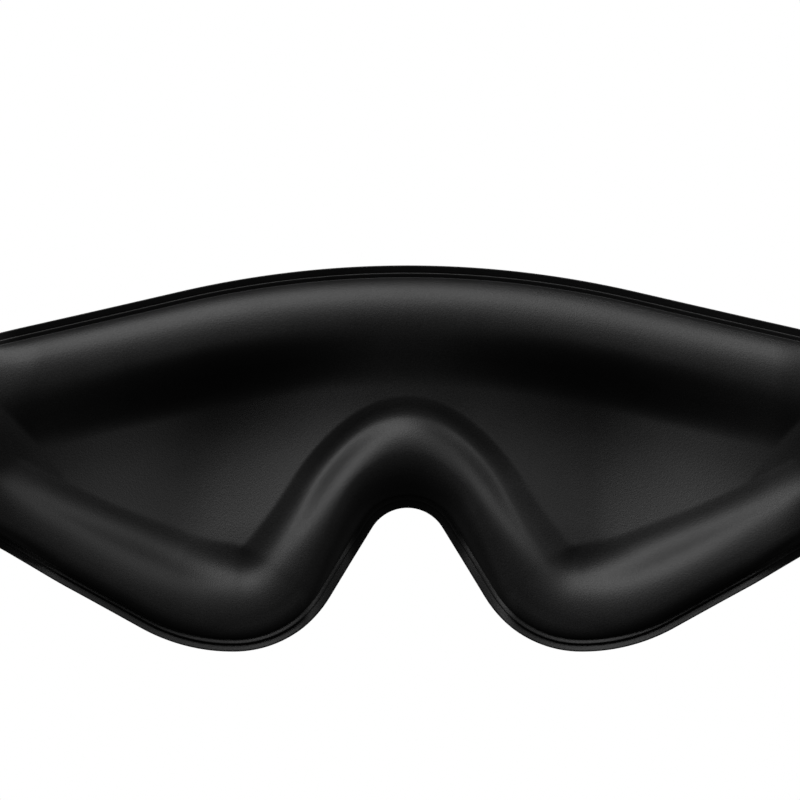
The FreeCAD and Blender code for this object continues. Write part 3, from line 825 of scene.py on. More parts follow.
@dataclass(frozen=True)
class PlainFinish:
    """A matt or glossy material with a fine grain: thread, hooks, pile, foam and film."""

    name: str
    dark: tuple[float, float, float]
    light: tuple[float, float, float]
    grain: float
    roughness: float
    specular: float
    relief: float
    sheen: float = 0.0
    cell_share: float = 0.6
    ends: tuple[float, float] = (0.35, 0.68)

    def build(self) -> bpy.types.Material:
        """The finish as a material."""
        recipe = Recipe(self.name)
        place = recipe.place()
        grain = recipe.node("TexNoise", {"Vector": place, "Scale": self.grain, "Detail": 3.0})
        cells = recipe.node("TexVoronoi", {"Vector": place, "Scale": self.grain * self.cell_share})
        colour = recipe.ramp(grain.outputs["Fac"], (self.dark, self.light), self.ends)
        height = recipe.math("ADD", grain.outputs["Fac"], cells.outputs["Distance"])
        bump = recipe.node("Bump", {"Strength": 0.5, "Distance": self.relief, "Height": height})
        return recipe.shade(recipe.node("BsdfPrincipled", {
            "Base Color": colour, "Roughness": self.roughness, "Normal": bump.outputs[0],
            "Specular IOR Level": self.specular, "Sheen Weight": self.sheen}))


def made(finish: KnitFinish | ElasticFinish | PlainFinish) -> object:
    """A field that holds a finish's material."""
    return field(default_factory=finish.build)


@dataclass(frozen=True)
class Finishes:
    """Every finish of the mask, made once."""

    lining: bpy.types.Material = made(KnitFinish(
        "lining_knit", (0.003, 0.003, 0.0031), (0.0065, 0.0065, 0.0067)))
    cover: bpy.types.Material = made(KnitFinish(
        "cover_knit", (0.003, 0.003, 0.0032), (0.0065, 0.0065, 0.0068), (0.46, 0.56), 0.55))
    elastic: bpy.types.Material = made(ElasticFinish())
    foam: bpy.types.Material = made(PlainFinish(
        "soft_foam", (0.03, 0.03, 0.032), (0.06, 0.06, 0.064), 1400.0, 0.9, 0.2, 0.0002))
    film: bpy.types.Material = made(PlainFinish(
        "blackout_film", (0.006, 0.006, 0.006), (0.012, 0.012, 0.012), 900.0, 0.6, 0.3, 0.00003))
    tape: bpy.types.Material = made(PlainFinish(
        "hook_tape", (0.008, 0.008, 0.008), (0.022, 0.022, 0.023), 2200.0, 0.45, 0.5, 0.00008))
    pile: bpy.types.Material = made(PlainFinish(
        "loop_pile", (0.012, 0.012, 0.013), (0.036, 0.036, 0.038), 2400.0, 0.8, 0.3, 0.0001, 0.1))
    thread: bpy.types.Material = made(PlainFinish(
        "sewing_thread", (0.014, 0.014, 0.015), (0.04, 0.04, 0.042), 5200.0, 0.5, 0.5, 0.00005))


# ---------------------------------------------------------------- meshes


def coordinates(vertices: Sequence[bmesh.types.BMVert]) -> np.ndarray:
    """The places of vertices, one row each."""
    return np.array([vertex.co[:] for vertex in vertices])


def of_kind(geometry: Sequence, kind: type) -> list:
    """The vertices, edges or faces among what an operator made."""
    return [part for part in geometry if isinstance(part, kind)]


def double(mesh: bmesh.types.BMesh) -> list[bmesh.types.BMVert]:
    """Give a flat web its second face, closed round the edge, and return that face's vertices."""
    region = bmesh.ops.extrude_face_region(mesh, geom=mesh.faces[:], use_keep_orig=True)
    return of_kind(region["geom"], bmesh.types.BMVert)


def move(vertices: Sequence[bmesh.types.BMVert], places: np.ndarray) -> None:
    """Put vertices at places given in millimetres, one row each."""
    for vertex, place in zip(vertices, places * MM):
        vertex.co = place


def finish_piece(
    mesh: bmesh.types.BMesh, name: str, slot: str, material: bpy.types.Material
) -> bpy.types.Object:
    """Turn a finished mesh into a piece.

    Args:
        mesh: the mesh, in metres; it is freed.
        name: the piece's name.
        slot: the record's material slot.
        material: its finish.

    Returns:
        The piece, at the origin.
    """
    data = bpy.data.meshes.new(name)
    bmesh.ops.recalc_face_normals(mesh, faces=mesh.faces[:])
    mesh.to_mesh(data)
    mesh.free()
    data.polygons.foreach_set("use_smooth", [True] * len(data.polygons))
    data.materials.append(material)
    piece = bpy.data.objects.new(name, data)
    bpy.context.scene.collection.objects.link(piece)
    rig.slot(piece, slot)
    log.info("%s: %d faces", name, len(data.polygons))
    return piece


@dataclass(frozen=True)
class Layer:
    """A layer of the mask: an even web of faces, ringed out to its own edge, on two heights."""

    outline: Outline
    face: Callable[[np.ndarray], np.ndarray]
    back: Callable[[np.ndarray], np.ndarray]
    rings: Sequence[float]
    columns: int = 300
    rows: int = 110
    web_inset: float = 9.0

    def build(self) -> bmesh.types.BMesh:
        """The layer as a closed mesh, in metres."""
        mesh = bmesh.new()
        bmesh.ops.create_grid(mesh, x_segments=self.columns, y_segments=self.rows, size=1.0)
        share = (coordinates(mesh.verts)[:, :2] + 1.0) / 2.0
        self._lay(mesh.verts, self.outline.patch(share[:, 0], share[:, 1], self.web_inset))
        rim = [edge for edge in mesh.edges if edge.is_boundary]
        for inset in self.rings:
            geometry = bmesh.ops.extrude_edge_only(mesh, edges=rim)["geom"]
            fresh = of_kind(geometry, bmesh.types.BMVert)
            rim = [edge for edge in of_kind(geometry, bmesh.types.BMEdge) if edge.is_boundary]
            flat = self._flat(fresh)
            near = self.outline.nearest(flat)
            self._lay(fresh, flat + near.outward * (near.least - inset)[:, None])
        fresh = double(mesh)
        known = set(fresh)
        older = [vertex for vertex in mesh.verts if vertex not in known]
        for vertices, height in ((older, self.face), (fresh, self.back)):
            flat = self._flat(vertices)
            move(vertices, np.stack([flat[:, 0], height(flat), flat[:, 1]], axis=1))
        return mesh

    @staticmethod
    def _flat(vertices: Sequence[bmesh.types.BMVert]) -> np.ndarray:
        """The flat places of vertices in the outline."""
        return coordinates(vertices)[:, (0, 2)] / MM

    @staticmethod
    def _lay(vertices: Sequence[bmesh.types.BMVert], flat: np.ndarray) -> None:
        """Put vertices at flat places in the outline."""
        move(vertices, np.stack([flat[:, 0], np.zeros(len(flat)), flat[:, 1]], axis=1))


@dataclass
class MaskShell:
    """The pressed laminate: cover, blackout film, foam core and face lining."""

    relief: Relief
    finishes: Finishes
    cover_gauge: float = 0.9
    film_gauge: float = 0.18
    lining_gauge: float = 0.65
    glue: float = 0.03
    edge_round: float = 0.3
    cover_pull: float = 0.4
    lining_pull: float = 0.45
    lining_inset: float = 2.0
    foam_inset: float = 3.9
    foam_clear: float = 0.12
    foam_edge: float = 0.05
    rings: tuple[float, ...] = (7.7, 6.5, 5.5, 4.7, 4.1, 3.7, 3.45, 3.3, 3.15, 2.7)

    def _rounding(self, points: np.ndarray, edge: float, amount: float) -> np.ndarray:
        """How far a layer's face is drawn in at its rounded edge."""
        depth = self.relief.outline.nearest(points).least
        share = np.clip(1.0 - (depth - edge) / self.edge_round, 0.0, 1.0)
        return amount * (1.0 - np.sqrt(1.0 - share**2))

    def _under(self, points: np.ndarray) -> np.ndarray:
        """Where the foam meets the blackout film, along Y."""
        return self.relief.front(points) - (2.0 * self.glue + self.film_gauge)

    def cover(self) -> bmesh.types.BMesh:
        """The outer cover, which shows on the front and as the outermost rim."""
        front = self.relief.front
        pull = self.cover_gauge * self.cover_pull
        return Layer(
            self.relief.outline,
            lambda at: front(at) + self._rounding(at, 0.0, pull),
            lambda at: front(at) + self.cover_gauge - self._rounding(at, 0.0, pull),
            (*self.rings, 2.0, 1.2, 0.5, 0.3, 0.12, 0.0),
            columns=280,
            rows=96,
        ).build()

    def film(self) -> bmesh.types.BMesh:
        """The blackout film between the cover and the foam."""
        front = self.relief.front
        return Layer(
            self.relief.outline,
            lambda at: front(at) - self.glue - self.film_gauge,
            lambda at: front(at) - self.glue,
            (6.5, 4.7, 3.3, 2.7),
            columns=110,
            rows=40,
        ).build()

    def foam(self) -> bmesh.types.BMesh:
        """The moulded foam core."""
        thickness = self.relief.thickness
        return Layer(
            self.relief.outline,
            lambda at: self._under(at)
            - np.maximum(thickness(at) - self.foam_clear, self.foam_edge),
            self._under,
            (7.7, 6.5, 5.5, 4.7, 4.3, self.foam_inset),
            columns=200,
            rows=72,
        ).build()

    def lining(self) -> bmesh.types.BMesh:
        """The face lining, moulded over the foam, whose pressed rim shows its cut edge."""
        edge, pull = self.lining_inset, self.lining_gauge * self.lining_pull

        def back(at: np.ndarray) -> np.ndarray:
            """The side that is glued to the foam."""
            return self._under(at) - self.relief.thickness(at)

        return Layer(
            self.relief.outline,
            lambda at: back(at) - self.lining_gauge + self._rounding(at, edge, pull),
            back,
            (*self.rings, 2.3, 2.12, edge),
        ).build()

    def build(self) -> list[bpy.types.Object]:
        """Every layer, riding on the mask."""
        looks, outline = self.finishes, self.relief.outline
        cut = (2.0 * outline.half_width * MM, (outline.crown_rise + outline.lobe_drop) * MM)
        area = outline.area() * MM * MM
        layers = (
            (self.cover, "outer_cover_knit", "cover_fabric", looks.cover, "outer_cover"),
            (self.film, "blackout_sheet", "blackout_film", looks.film, "blackout_interlining"),
            (self.foam, "moulded_foam_core", "foam", looks.foam, "foam_core"),
            (self.lining, "moulded_face_lining", "lining_fabric", looks.lining, "face_lining"),
        )
        pieces = []
        for layer, name, slot, material, node in layers:
            piece = finish_piece(layer(), name, slot, material)
            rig.replaces(piece, node)
            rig.ride(piece, "mask")
            pieces.append(piece)
        cover, film, foam, lining = pieces
        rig.padded(foam, fill=0.9)
        for sheet in (cover, film, lining):
            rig.sheet(sheet, flat=cut, held="stretched", rests_on=[foam], area=area)
        return pieces


# ---------------------------------------------------------------- bands


@dataclass(frozen=True)
class Stretch:
    """A straight run of a band in plan, from a point and a heading, on one side."""

    side: Side
    x: float
    y: float
    heading: float

    @property
    def along(self) -> np.ndarray:
        """The direction that the run goes in, on the right side."""
        return np.array([math.cos(self.heading), math.sin(self.heading)])

    @property
    def out(self) -> np.ndarray:
        """The direction away from the head, on the right side."""
        return np.array([-math.sin(self.heading), math.cos(self.heading)])

    def at(self, run: float, off: float) -> np.ndarray:
        """The plan point a way along the run and a way off it, on the right side."""
        return np.array([self.x, self.y]) + run * self.along + off * self.out

    def matrix(self, run: float, off: float, rise: float) -> Matrix:
        """The place, in metres, of a small shape whose X runs along and whose Y points out."""
        x, y = self.at(run, off)
        sign = self.side.value
        along, out = self.along, self.out
        return Matrix((
            (sign * along[0], sign * out[0], 0.0, sign * x * MM),
            (along[1], out[1], 0.0, y * MM),
            (0.0, 0.0, 1.0, rise * MM),
            (0.0, 0.0, 0.0, 1.0),
        ))


@dataclass(frozen=True)
class BandLine:
    """The middle of a band's thickness in plan, from the seam on the mask to the tip."""

    anchor: Stretch
    temple: Stretch
    rear: Stretch
    seam: float = 19.0
    tip: float = 113.0
    sunk: float = 0.85
    fold_radius: float = 5.0
    bend_length: float = 30.0

    def polyline(self) -> tuple[np.ndarray, np.ndarray]:
        """Closely spaced points along the line.

        Returns:
            The points on the right side, and how far each is along from the fold.
        """
        start = self.anchor.at(-self.seam, -self.sunk)
        corner = self._meeting()
        bend = np.array([self.rear.x, self.rear.y])
        stop = self.rear.at(self.tip, 0.0)
        turn = abs(self.rear.heading - self.temple.heading)
        fold = self._rounded(start, corner, bend, self.fold_radius)
        soft = self._rounded(corner, bend, stop, self.bend_length / math.tan(turn / 2.0))
        points = np.concatenate([start[None], fold, soft, stop[None]])
        along = lengths_along(points)
        return points, along - along[1 + len(fold) // 2]

    def _meeting(self) -> np.ndarray:
        """Where the anchor's and the temple run's middles cross."""
        first, second = self.anchor.at(0.0, -self.sunk), self.temple.at(0.0, -self.sunk)
        ways = np.stack([self.anchor.along, -self.temple.along], axis=1)
        return first + np.linalg.solve(ways, second - first)[0] * self.anchor.along

    @staticmethod
    def _rounded(
        before: np.ndarray, corner: np.ndarray, after: np.ndarray, radius: float
    ) -> np.ndarray:
        """Points of the arc that rounds a corner."""
        back, ahead = before - corner, after - corner
        back, ahead = back / np.linalg.norm(back), ahead / np.linalg.norm(ahead)
        half = math.acos(float(np.clip(back @ ahead, -1.0, 1.0))) / 2.0
        middle = (back + ahead) / np.linalg.norm(back + ahead)
        centre = corner + middle * radius / math.sin(half)
        first = math.atan2(*(corner + back * radius / math.tan(half) - centre)[::-1])
        last = math.atan2(*(corner + ahead * radius / math.tan(half) - centre)[::-1])
        sweep = (last - first + math.pi) % (2.0 * math.pi) - math.pi
        angles = first + sweep * np.linspace(0.0, 1.0, ARC_POINTS)
        return centre + radius * np.stack([np.cos(angles), np.sin(angles)], axis=1)

    def point(self, along: float) -> Vector:
        """The place on the line a way along from the fold, in metres, on the band's own side."""
        points, lengths = self.polyline()
        x, y = between(np.array([along]), lengths, points)[0].tolist()
        return Vector((self.anchor.side.value * x, y, 0.0)) * MM


@dataclass(frozen=True)
class Strip:
    """A flat woven piece that follows a band's line: its thickness has rounded edges.

    dips are the places along the line where stitches draw the piece in, and dip_reach is how
    far they do, along the line in millimetres and across it as a share of half the width.
    """

    line: BandLine
    runs: np.ndarray
    half_width: float
    half_gauge: float
    rise: float
    off: float = 0.0
    round_start: bool = True
    round_stop: bool = True
    dips: tuple[float, ...] = ()
    dip_depth: float = 0.0
    dip_reach: tuple[float, float] = (0.9, 0.9)
    edge: float = 0.6
    edge_gauge: float = 0.3
    rows: int = 25
    lips: tuple[float, ...] = (0.08, 0.3, 0.6)

    def build(self) -> bmesh.types.BMesh:
        """The strip as a closed mesh, in metres, with its run and rise as a UV map."""
        inner = np.linspace(-self.half_width + self.edge, self.half_width - self.edge, self.rows)
        lip = self.half_width - self.edge * np.array([0.0, *self.lips])
        rises = np.concatenate([-lip, inner, lip[::-1]])
        runs = self._runs()
        mesh = bmesh.new()
        bmesh.ops.create_grid(mesh, x_segments=len(runs) - 1, y_segments=len(rises) - 1, size=1.0)
        share = (coordinates(mesh.verts)[:, :2] + 1.0) / 2.0
        column = np.rint(share[:, 0] * (len(runs) - 1)).astype(int)
        row = np.rint(share[:, 1] * (len(rises) - 1)).astype(int)
        run, rise = runs[column], rises[row]
        for vertex, at in zip(mesh.verts, np.stack([run, rise, np.zeros(len(run))], axis=1)):
            vertex.co = at
        fresh = set(double(mesh))
        flat = coordinates(mesh.verts)
        face = np.array([-1.0 if vertex in fresh else 1.0 for vertex in mesh.verts])
        layer = mesh.loops.layers.uv.new("run_rise")
        for polygon in mesh.faces:
            for loop in polygon.loops:
                loop[layer].uv = loop.vert.co.xy * MM
        self._place(mesh, flat[:, 0], flat[:, 1], face)
        return mesh

    def _runs(self) -> np.ndarray:
        """The places along the line, with more of them at a rounded end."""
        runs = [self.runs]
        lip = self.edge * np.array(self.lips)
        if self.round_start:
            runs.append(self.runs[0] + lip)
        if self.round_stop:
            runs.append(self.runs[-1] - lip)
        return np.unique(np.concatenate(runs))

    def _place(
        self, mesh: bmesh.types.BMesh, run: np.ndarray, rise: np.ndarray, face: np.ndarray
    ) -> None:
        """Lay the flat web of vertices along the line, each face at half the thickness."""
        inward = np.clip(1.0 - (self.half_width - np.abs(rise)) / self.edge, 0.0, 1.0)
        if self.round_start:
            inward = np.maximum(inward, np.clip(1.0 - (run - self.runs[0]) / self.edge, 0.0, 1.0))
        if self.round_stop:
            inward = np.maximum(inward, np.clip(1.0 - (self.runs[-1] - run) / self.edge, 0.0, 1.0))
        middle = 1.0 - self.edge_gauge
        half = self.half_gauge * (self.edge_gauge + middle * np.sqrt(1.0 - inward**2))
        along, across = self.dip_reach
        for dip in self.dips:
            across_dip = hump(rise, self.half_width * across)
            half = half - self.dip_depth * hump(run - dip, along) * across_dip
        points, lengths = self.line.polyline()
        way = between(run + NEARBY, lengths, points) - between(run - NEARBY, lengths, points)
        way /= np.linalg.norm(way, axis=1)[:, None]
        out = np.stack([-way[:, 1], way[:, 0]], axis=1) * (self.off + face * half)[:, None]
        place = between(run, lengths, points) + out
        place[:, 0] *= self.line.anchor.side.value
        move(mesh.verts, np.column_stack([place, self.rise + rise]))


def scatter(template: bmesh.types.BMesh, places: Sequence[Matrix]) -> bmesh.types.BMesh:
    """Copies of one small shape.

    Args:
        template: the shape, in metres; it is freed.
        places: where each copy goes.

    Returns:
        The copies as one mesh.
    """
    small = bpy.data.meshes.new("template")
    template.to_mesh(small)
    template.free()
    mesh = bmesh.new()
    for place in places:
        small.transform(place)
        mesh.from_mesh(small)
        small.transform(place.inverted())
    bpy.data.meshes.remove(small)
    return mesh


def stitch(length: float, width: float, proud: float) -> bmesh.types.BMesh:
    """One visible stitch of thread, along X, in metres."""
    mesh = bmesh.new()
    lying = Matrix.Rotation(math.pi / 2, 3, "Y")
    bmesh.ops.create_uvsphere(mesh, u_segments=8, v_segments=5, radius=0.5 * MM)
    bmesh.ops.rotate(mesh, cent=(0, 0, 0), matrix=lying, verts=mesh.verts)
    bmesh.ops.scale(mesh, vec=(length, proud, width), verts=mesh.verts)
    return mesh


class Tape(Enum):
    """Which half of the fastener a band's tip carries."""

    HOOK = "hook"
    LOOP = "loop"


@dataclass(frozen=True)
class Wire:
    """A short wire that stands on its foot and bends over: a hook or a loop of the pile."""

    sides: int
    steps: int
    gauge: float
    radius: float
    turn: float

    def build(self) -> bmesh.types.BMesh:
        """The wire, in metres, whose foot is at the origin and which stands along Y."""
        mesh = bmesh.new()
        upright = Matrix.Rotation(-math.pi / 2, 3, "X")
        bmesh.ops.create_circle(mesh, segments=self.sides, radius=self.gauge / 2.0 * MM)
        bmesh.ops.rotate(mesh, cent=(0, 0, 0), matrix=upright, verts=mesh.verts)
        bmesh.ops.spin(
            mesh, geom=mesh.verts[:] + mesh.edges[:], cent=(self.radius * MM, 0, 0),
            axis=(0, 0, -1), dvec=(0, 0, 0), angle=self.turn, steps=self.steps,
            use_merge=False, use_duplicate=False,
        )
        bmesh.ops.holes_fill(mesh, edges=mesh.edges[:], sides=self.sides)
        bmesh.ops.recalc_face_normals(mesh, faces=mesh.faces[:])
        return mesh


@dataclass(frozen=True)
class TapeMake:
    """How one half of the fastener is made.

    start and stop are along the rear run.  way is 1 on the outside of the strap and -1 on the
    inside.
    """

    start: float
    way: float
    pitch: float
    jitter: float
    seed: int
    wire: Wire
    stop: float = 110.0
    margin: float = 2.6


TAPES = {
    Tape.HOOK: TapeMake(68.0, -1.0, 1.15, 0.0, 7, Wire(4, 4, 0.2, 0.22, math.radians(205.0))),
    Tape.LOOP: TapeMake(52.0, 1.0, 0.85, 0.3, 11, Wire(3, 5, 0.13, 0.27, math.radians(180.0))),
}


@dataclass
class Band:
    """One side's elastic: sewn to the mask, folded at the temple, with a fastener at its tip."""

    side: Side
    finishes: Finishes
    line: BandLine
    rise: float
    split: float = 31.0
    half_width: float = 12.25
    half_gauge: float = 0.7
    fold_span: tuple[float, float] = (-6.0, 14.0)
    step: float = 1.0
    fold_step: float = 0.4
    fold_blend: tuple[float, float] = (-3.0, 9.0)
    bend_blend: float = 14.0
    sewn_gap: float = 0.1
    patch_run: tuple[float, float] = (-14.5, -5.5)
    patch_half: tuple[float, float] = (10.0, 0.3)
    patch_columns: int = 37
    patch_dip: float = 0.14
    patch_edge: float = 0.4
    tack_spacing: float = 5.0
    tack_height: float = 16.2
    tack_rows: int = 17
    tack_lean: float = math.radians(14.0)
    tack_off: float = 0.78
    tack_size: tuple[float, float, float] = (1.7, 0.95, 0.42)
    tape_half: tuple[float, float] = (10.0, 0.42)
    tape_columns: int = 60
    tape_edge: float = 0.35
    pile_sink: float = 0.03
    stitch_inset: float = 1.5
    stitch_pitch: float = 2.7
    stitch_off: float = 0.1
    stitch_size: tuple[float, float, float] = (2.1, 0.42, 0.4)
    hem_run: tuple[float, float] = (101.0, 113.0)
    hem_half: tuple[float, float] = (12.1, 0.6)
    hem_columns: int = 25
    hem_short: float = 0.02
    hem_dip: float = 0.2
    hem_edge: float = 0.5
    hem_seam: float = 2.2

    @property
    def tape(self) -> Tape:
        """The fastener half on this side."""
        return Tape.HOOK if self.side is Side.LEFT else Tape.LOOP

    @property
    def make(self) -> TapeMake:
        """How this side's fastener half is made."""
        return TAPES[self.tape]

    @property
    def tape_top(self) -> float:
        """From the strap's middle to the top of the tape's ground."""
        return self.half_gauge + self.sewn_gap + 2.0 * self.tape_half[1]

    def body(self, part: str) -> str:
        """The name of one of this side's bodies, nodes or pieces."""
        return f"{self.side.word}_{part}"

    def _finish(
        self, mesh: bmesh.types.BMesh, name: str, slot: str, material: bpy.types.Material,
        *nodes: str,
    ) -> bpy.types.Object:
        """A finished piece of this side, which stands for nodes of this side."""
        piece = finish_piece(mesh, self.body(name), slot, material)
        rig.replaces(piece, *(self.body(node) for node in nodes))
        return piece

    def _strap(self, runs: np.ndarray, starts: bool) -> bmesh.types.BMesh:
        """A length of the elastic, with a rounded start or a rounded stop."""
        return Strip(self.line, runs, self.half_width, self.half_gauge, self.rise,
                     round_start=starts, round_stop=not starts).build()

    def _on_rear(self) -> float:
        """How far along the line the bend's own point is."""
        points, lengths = self.line.polyline()
        stop = np.array([self.line.rear.x, self.line.rear.y])
        return float(lengths[-1] - np.linalg.norm(points[-1] - stop))

    def straps(self) -> list[bpy.types.Object]:
        """The elastic in two pieces, each bent by one of the side's two joints."""
        lengths = self.line.polyline()[1]
        end, bend = float(lengths[-1]), self._on_rear()
        fold_start, fold_stop = self.fold_span
        fold_runs = np.concatenate([
            np.arange(lengths[0], fold_start, self.step),
            np.arange(fold_start, fold_stop, self.fold_step),
            np.arange(fold_stop, self.split, self.step), [self.split]])
        tail_runs = np.append(np.arange(self.split, end - self.step / 2.0, self.step), end)
        elastic = self.finishes.elastic
        fold = self._finish(self._strap(fold_runs, True), "strap_fold", "elastic", elastic,
                            "band_anchor", "temple_band")
        tail = self._finish(self._strap(tail_runs, False), "strap_tail", "elastic", elastic,
                            "rear_band")
        temple, point = self.body("temple_run"), self.line.point
        first, last = self.fold_blend
        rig.blend(fold, "mask", temple, start=point(first), end=point(last))
        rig.blend(tail, temple, self.body("rear_run"),
                 start=point(bend - self.bend_blend), end=point(bend + self.bend_blend))
        return [fold, tail]

    def end_patch(self) -> list[bpy.types.Object]:
        """The patch over the seam on the mask, and the two bar tacks through it."""
        first, last = self.patch_run
        half_width, half_gauge = self.patch_half
        middle = (first + last) / 2.0
        tacks = (middle - self.tack_spacing / 2.0, middle + self.tack_spacing / 2.0)
        zero = float(self.line.polyline()[1][0]) + self.line.seam
        strip = Strip(self.line, np.linspace(first, last, self.patch_columns) + zero, half_width,
                      half_gauge, self.rise, off=self.half_gauge + self.sewn_gap + half_gauge,
                      dips=tuple(at + zero for at in tacks), dip_depth=self.patch_dip,
                      edge=self.patch_edge)
        patch = self._finish(
            strip.build(), "seam_patch", "cover_fabric", self.finishes.cover, "end_patch")
        off = -self.line.sunk + self.half_gauge + self.tack_off
        places = []
        for at in tacks:
            for row in range(self.tack_rows):
                rise = self.rise + (row / (self.tack_rows - 1) - 0.5) * self.tack_height
                lean = Matrix.Rotation(self.tack_lean if row % 2 else -self.tack_lean, 4, "Y")
                places.append(self.line.anchor.matrix(at, off, rise) @ lean)
        tack = self._finish(scatter(stitch(*self.tack_size), places), "tack_threads", "thread",
                            self.finishes.thread, "bar_tacks")
        for piece in (patch, tack):
            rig.ride(piece, "mask")
        return [patch, tack]

    def fastener(self) -> list[bpy.types.Object]:
        """The tape at the tip, its hooks or pile, the stitches round it and the tip's hem."""
        make, name, shift = self.make, self.tape.value, self._on_rear()
        finish = self.finishes.tape if self.tape is Tape.HOOK else self.finishes.pile
        half_width, base = self.tape_half
        runs = np.linspace(make.start, make.stop, self.tape_columns) + shift
        ground = Strip(self.line, runs, half_width, base, self.rise,
                       off=make.way * (self.half_gauge + self.sewn_gap + base),
                       edge=self.tape_edge).build()
        small = self._pile()
        pile = bpy.data.meshes.new("pile")
        small.to_mesh(pile)
        small.free()
        ground.from_mesh(pile)
        bpy.data.meshes.remove(pile)
        patch = self._finish(ground, f"{name}_tape", f"{name}_tape", finish, f"{name}_patch")
        sewn = self._finish(self._frame_stitches(), f"{name}_threads", "thread",
                            self.finishes.thread, f"{name}_stitching")
        start, stop = self.hem_run
        half_width, half_gauge = self.hem_half
        runs = np.linspace(start, stop, self.hem_columns) + shift - self.hem_short
        strip = Strip(self.line, runs, half_width, half_gauge, self.rise,
                      off=-make.way * (self.half_gauge + self.sewn_gap + half_gauge),
                      dips=(start + self.hem_seam + shift,), dip_depth=self.hem_dip,
                      edge=self.hem_edge)
        hem = self._finish(
            strip.build(), "hem_fold", "elastic", self.finishes.elastic, "tip_hem")
        for piece in (patch, sewn, hem):
            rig.ride(piece, self.body("rear_run"))
        return [patch, sewn, hem]

    def _on_tape(self, run: float, off: float, rise: float) -> Matrix:
        """The place of a small shape on the tape's side of the rear run."""
        return self.line.rear.matrix(run, self.make.way * off, self.rise + rise)

    def _pile(self) -> bmesh.types.BMesh:
        """The tape's hooks in rows, or its loops in a soft scatter."""
        make, half_width = self.make, self.tape_half[0]
        seeded = random.Random(make.seed)
        lean = Matrix.Diagonal((1.0, make.way, 1.0, 1.0))
        off = self.tape_top - self.pile_sink
        places = []
        run = make.start + make.margin
        row = 0
        while run < make.stop - make.margin:
            rise = -half_width + make.margin + (0.5 * make.pitch if row % 2 else 0.0)
            while rise < half_width - make.margin:
                along, up = (seeded.uniform(-make.jitter, make.jitter) for _ in range(2))
                if self.tape is Tape.LOOP:
                    spin = seeded.uniform(0.0, 2.0 * math.pi)
                else:
                    spin = (row % 2) * math.pi
                turned = lean @ Matrix.Rotation(spin, 4, "Y")
                places.append(self._on_tape(run + along, off, rise + up) @ turned)
                rise += make.pitch
            run += make.pitch
            row += 1
        return scatter(make.wire.build(), places)

    def _frame_stitches(self) -> bmesh.types.BMesh:
        """The stitches round a tape, inside its edge."""
        make = self.make
        middle = (make.start + make.stop) / 2.0
        reach = ((make.stop - make.start) / 2.0 - self.stitch_inset,
                 self.tape_half[0] - self.stitch_inset)
        off = self.tape_top + self.stitch_off
        places = []
        for axis in (0, 1):
            count = max(2, round(2.0 * reach[axis] / self.stitch_pitch))
            turned = Matrix.Rotation(math.pi / 2 if axis else 0.0, 4, "Y")
            for end in (-1.0, 1.0):
                for step in range(count):
                    spot = [0.0, 0.0]
                    spot[axis] = reach[axis] * (2.0 * (step + 0.5) / count - 1.0)
                    spot[1 - axis] = reach[1 - axis] * end
                    place = self._on_tape(middle + spot[0], off, spot[1])
                    places.append(place @ turned)
        return scatter(stitch(*self.stitch_size), places)

    def build(self) -> list[bpy.types.Object]:
        """Every piece of this side's band."""
        return self.straps() + self.end_patch() + self.fastener()


# ---------------------------------------------------------------- studio


@dataclass(frozen=True)
class Lamp:
    """A soft square lamp that points at the mask: its place, in metres, power and size."""

    name: str
    place: tuple[float, float, float]
    power: float
    size: float

    def build(self) -> None:
        """Hang the lamp."""
        data = bpy.data.lights.new(self.name, "AREA")
        data.energy = self.power
        data.size = self.size
        lamp = bpy.data.objects.new(self.name, data)
        lamp.location = self.place
        lamp.rotation_euler = (-Vector(self.place)).to_track_quat("-Z", "Y").to_euler()
        bpy.context.scene.collection.objects.link(lamp)


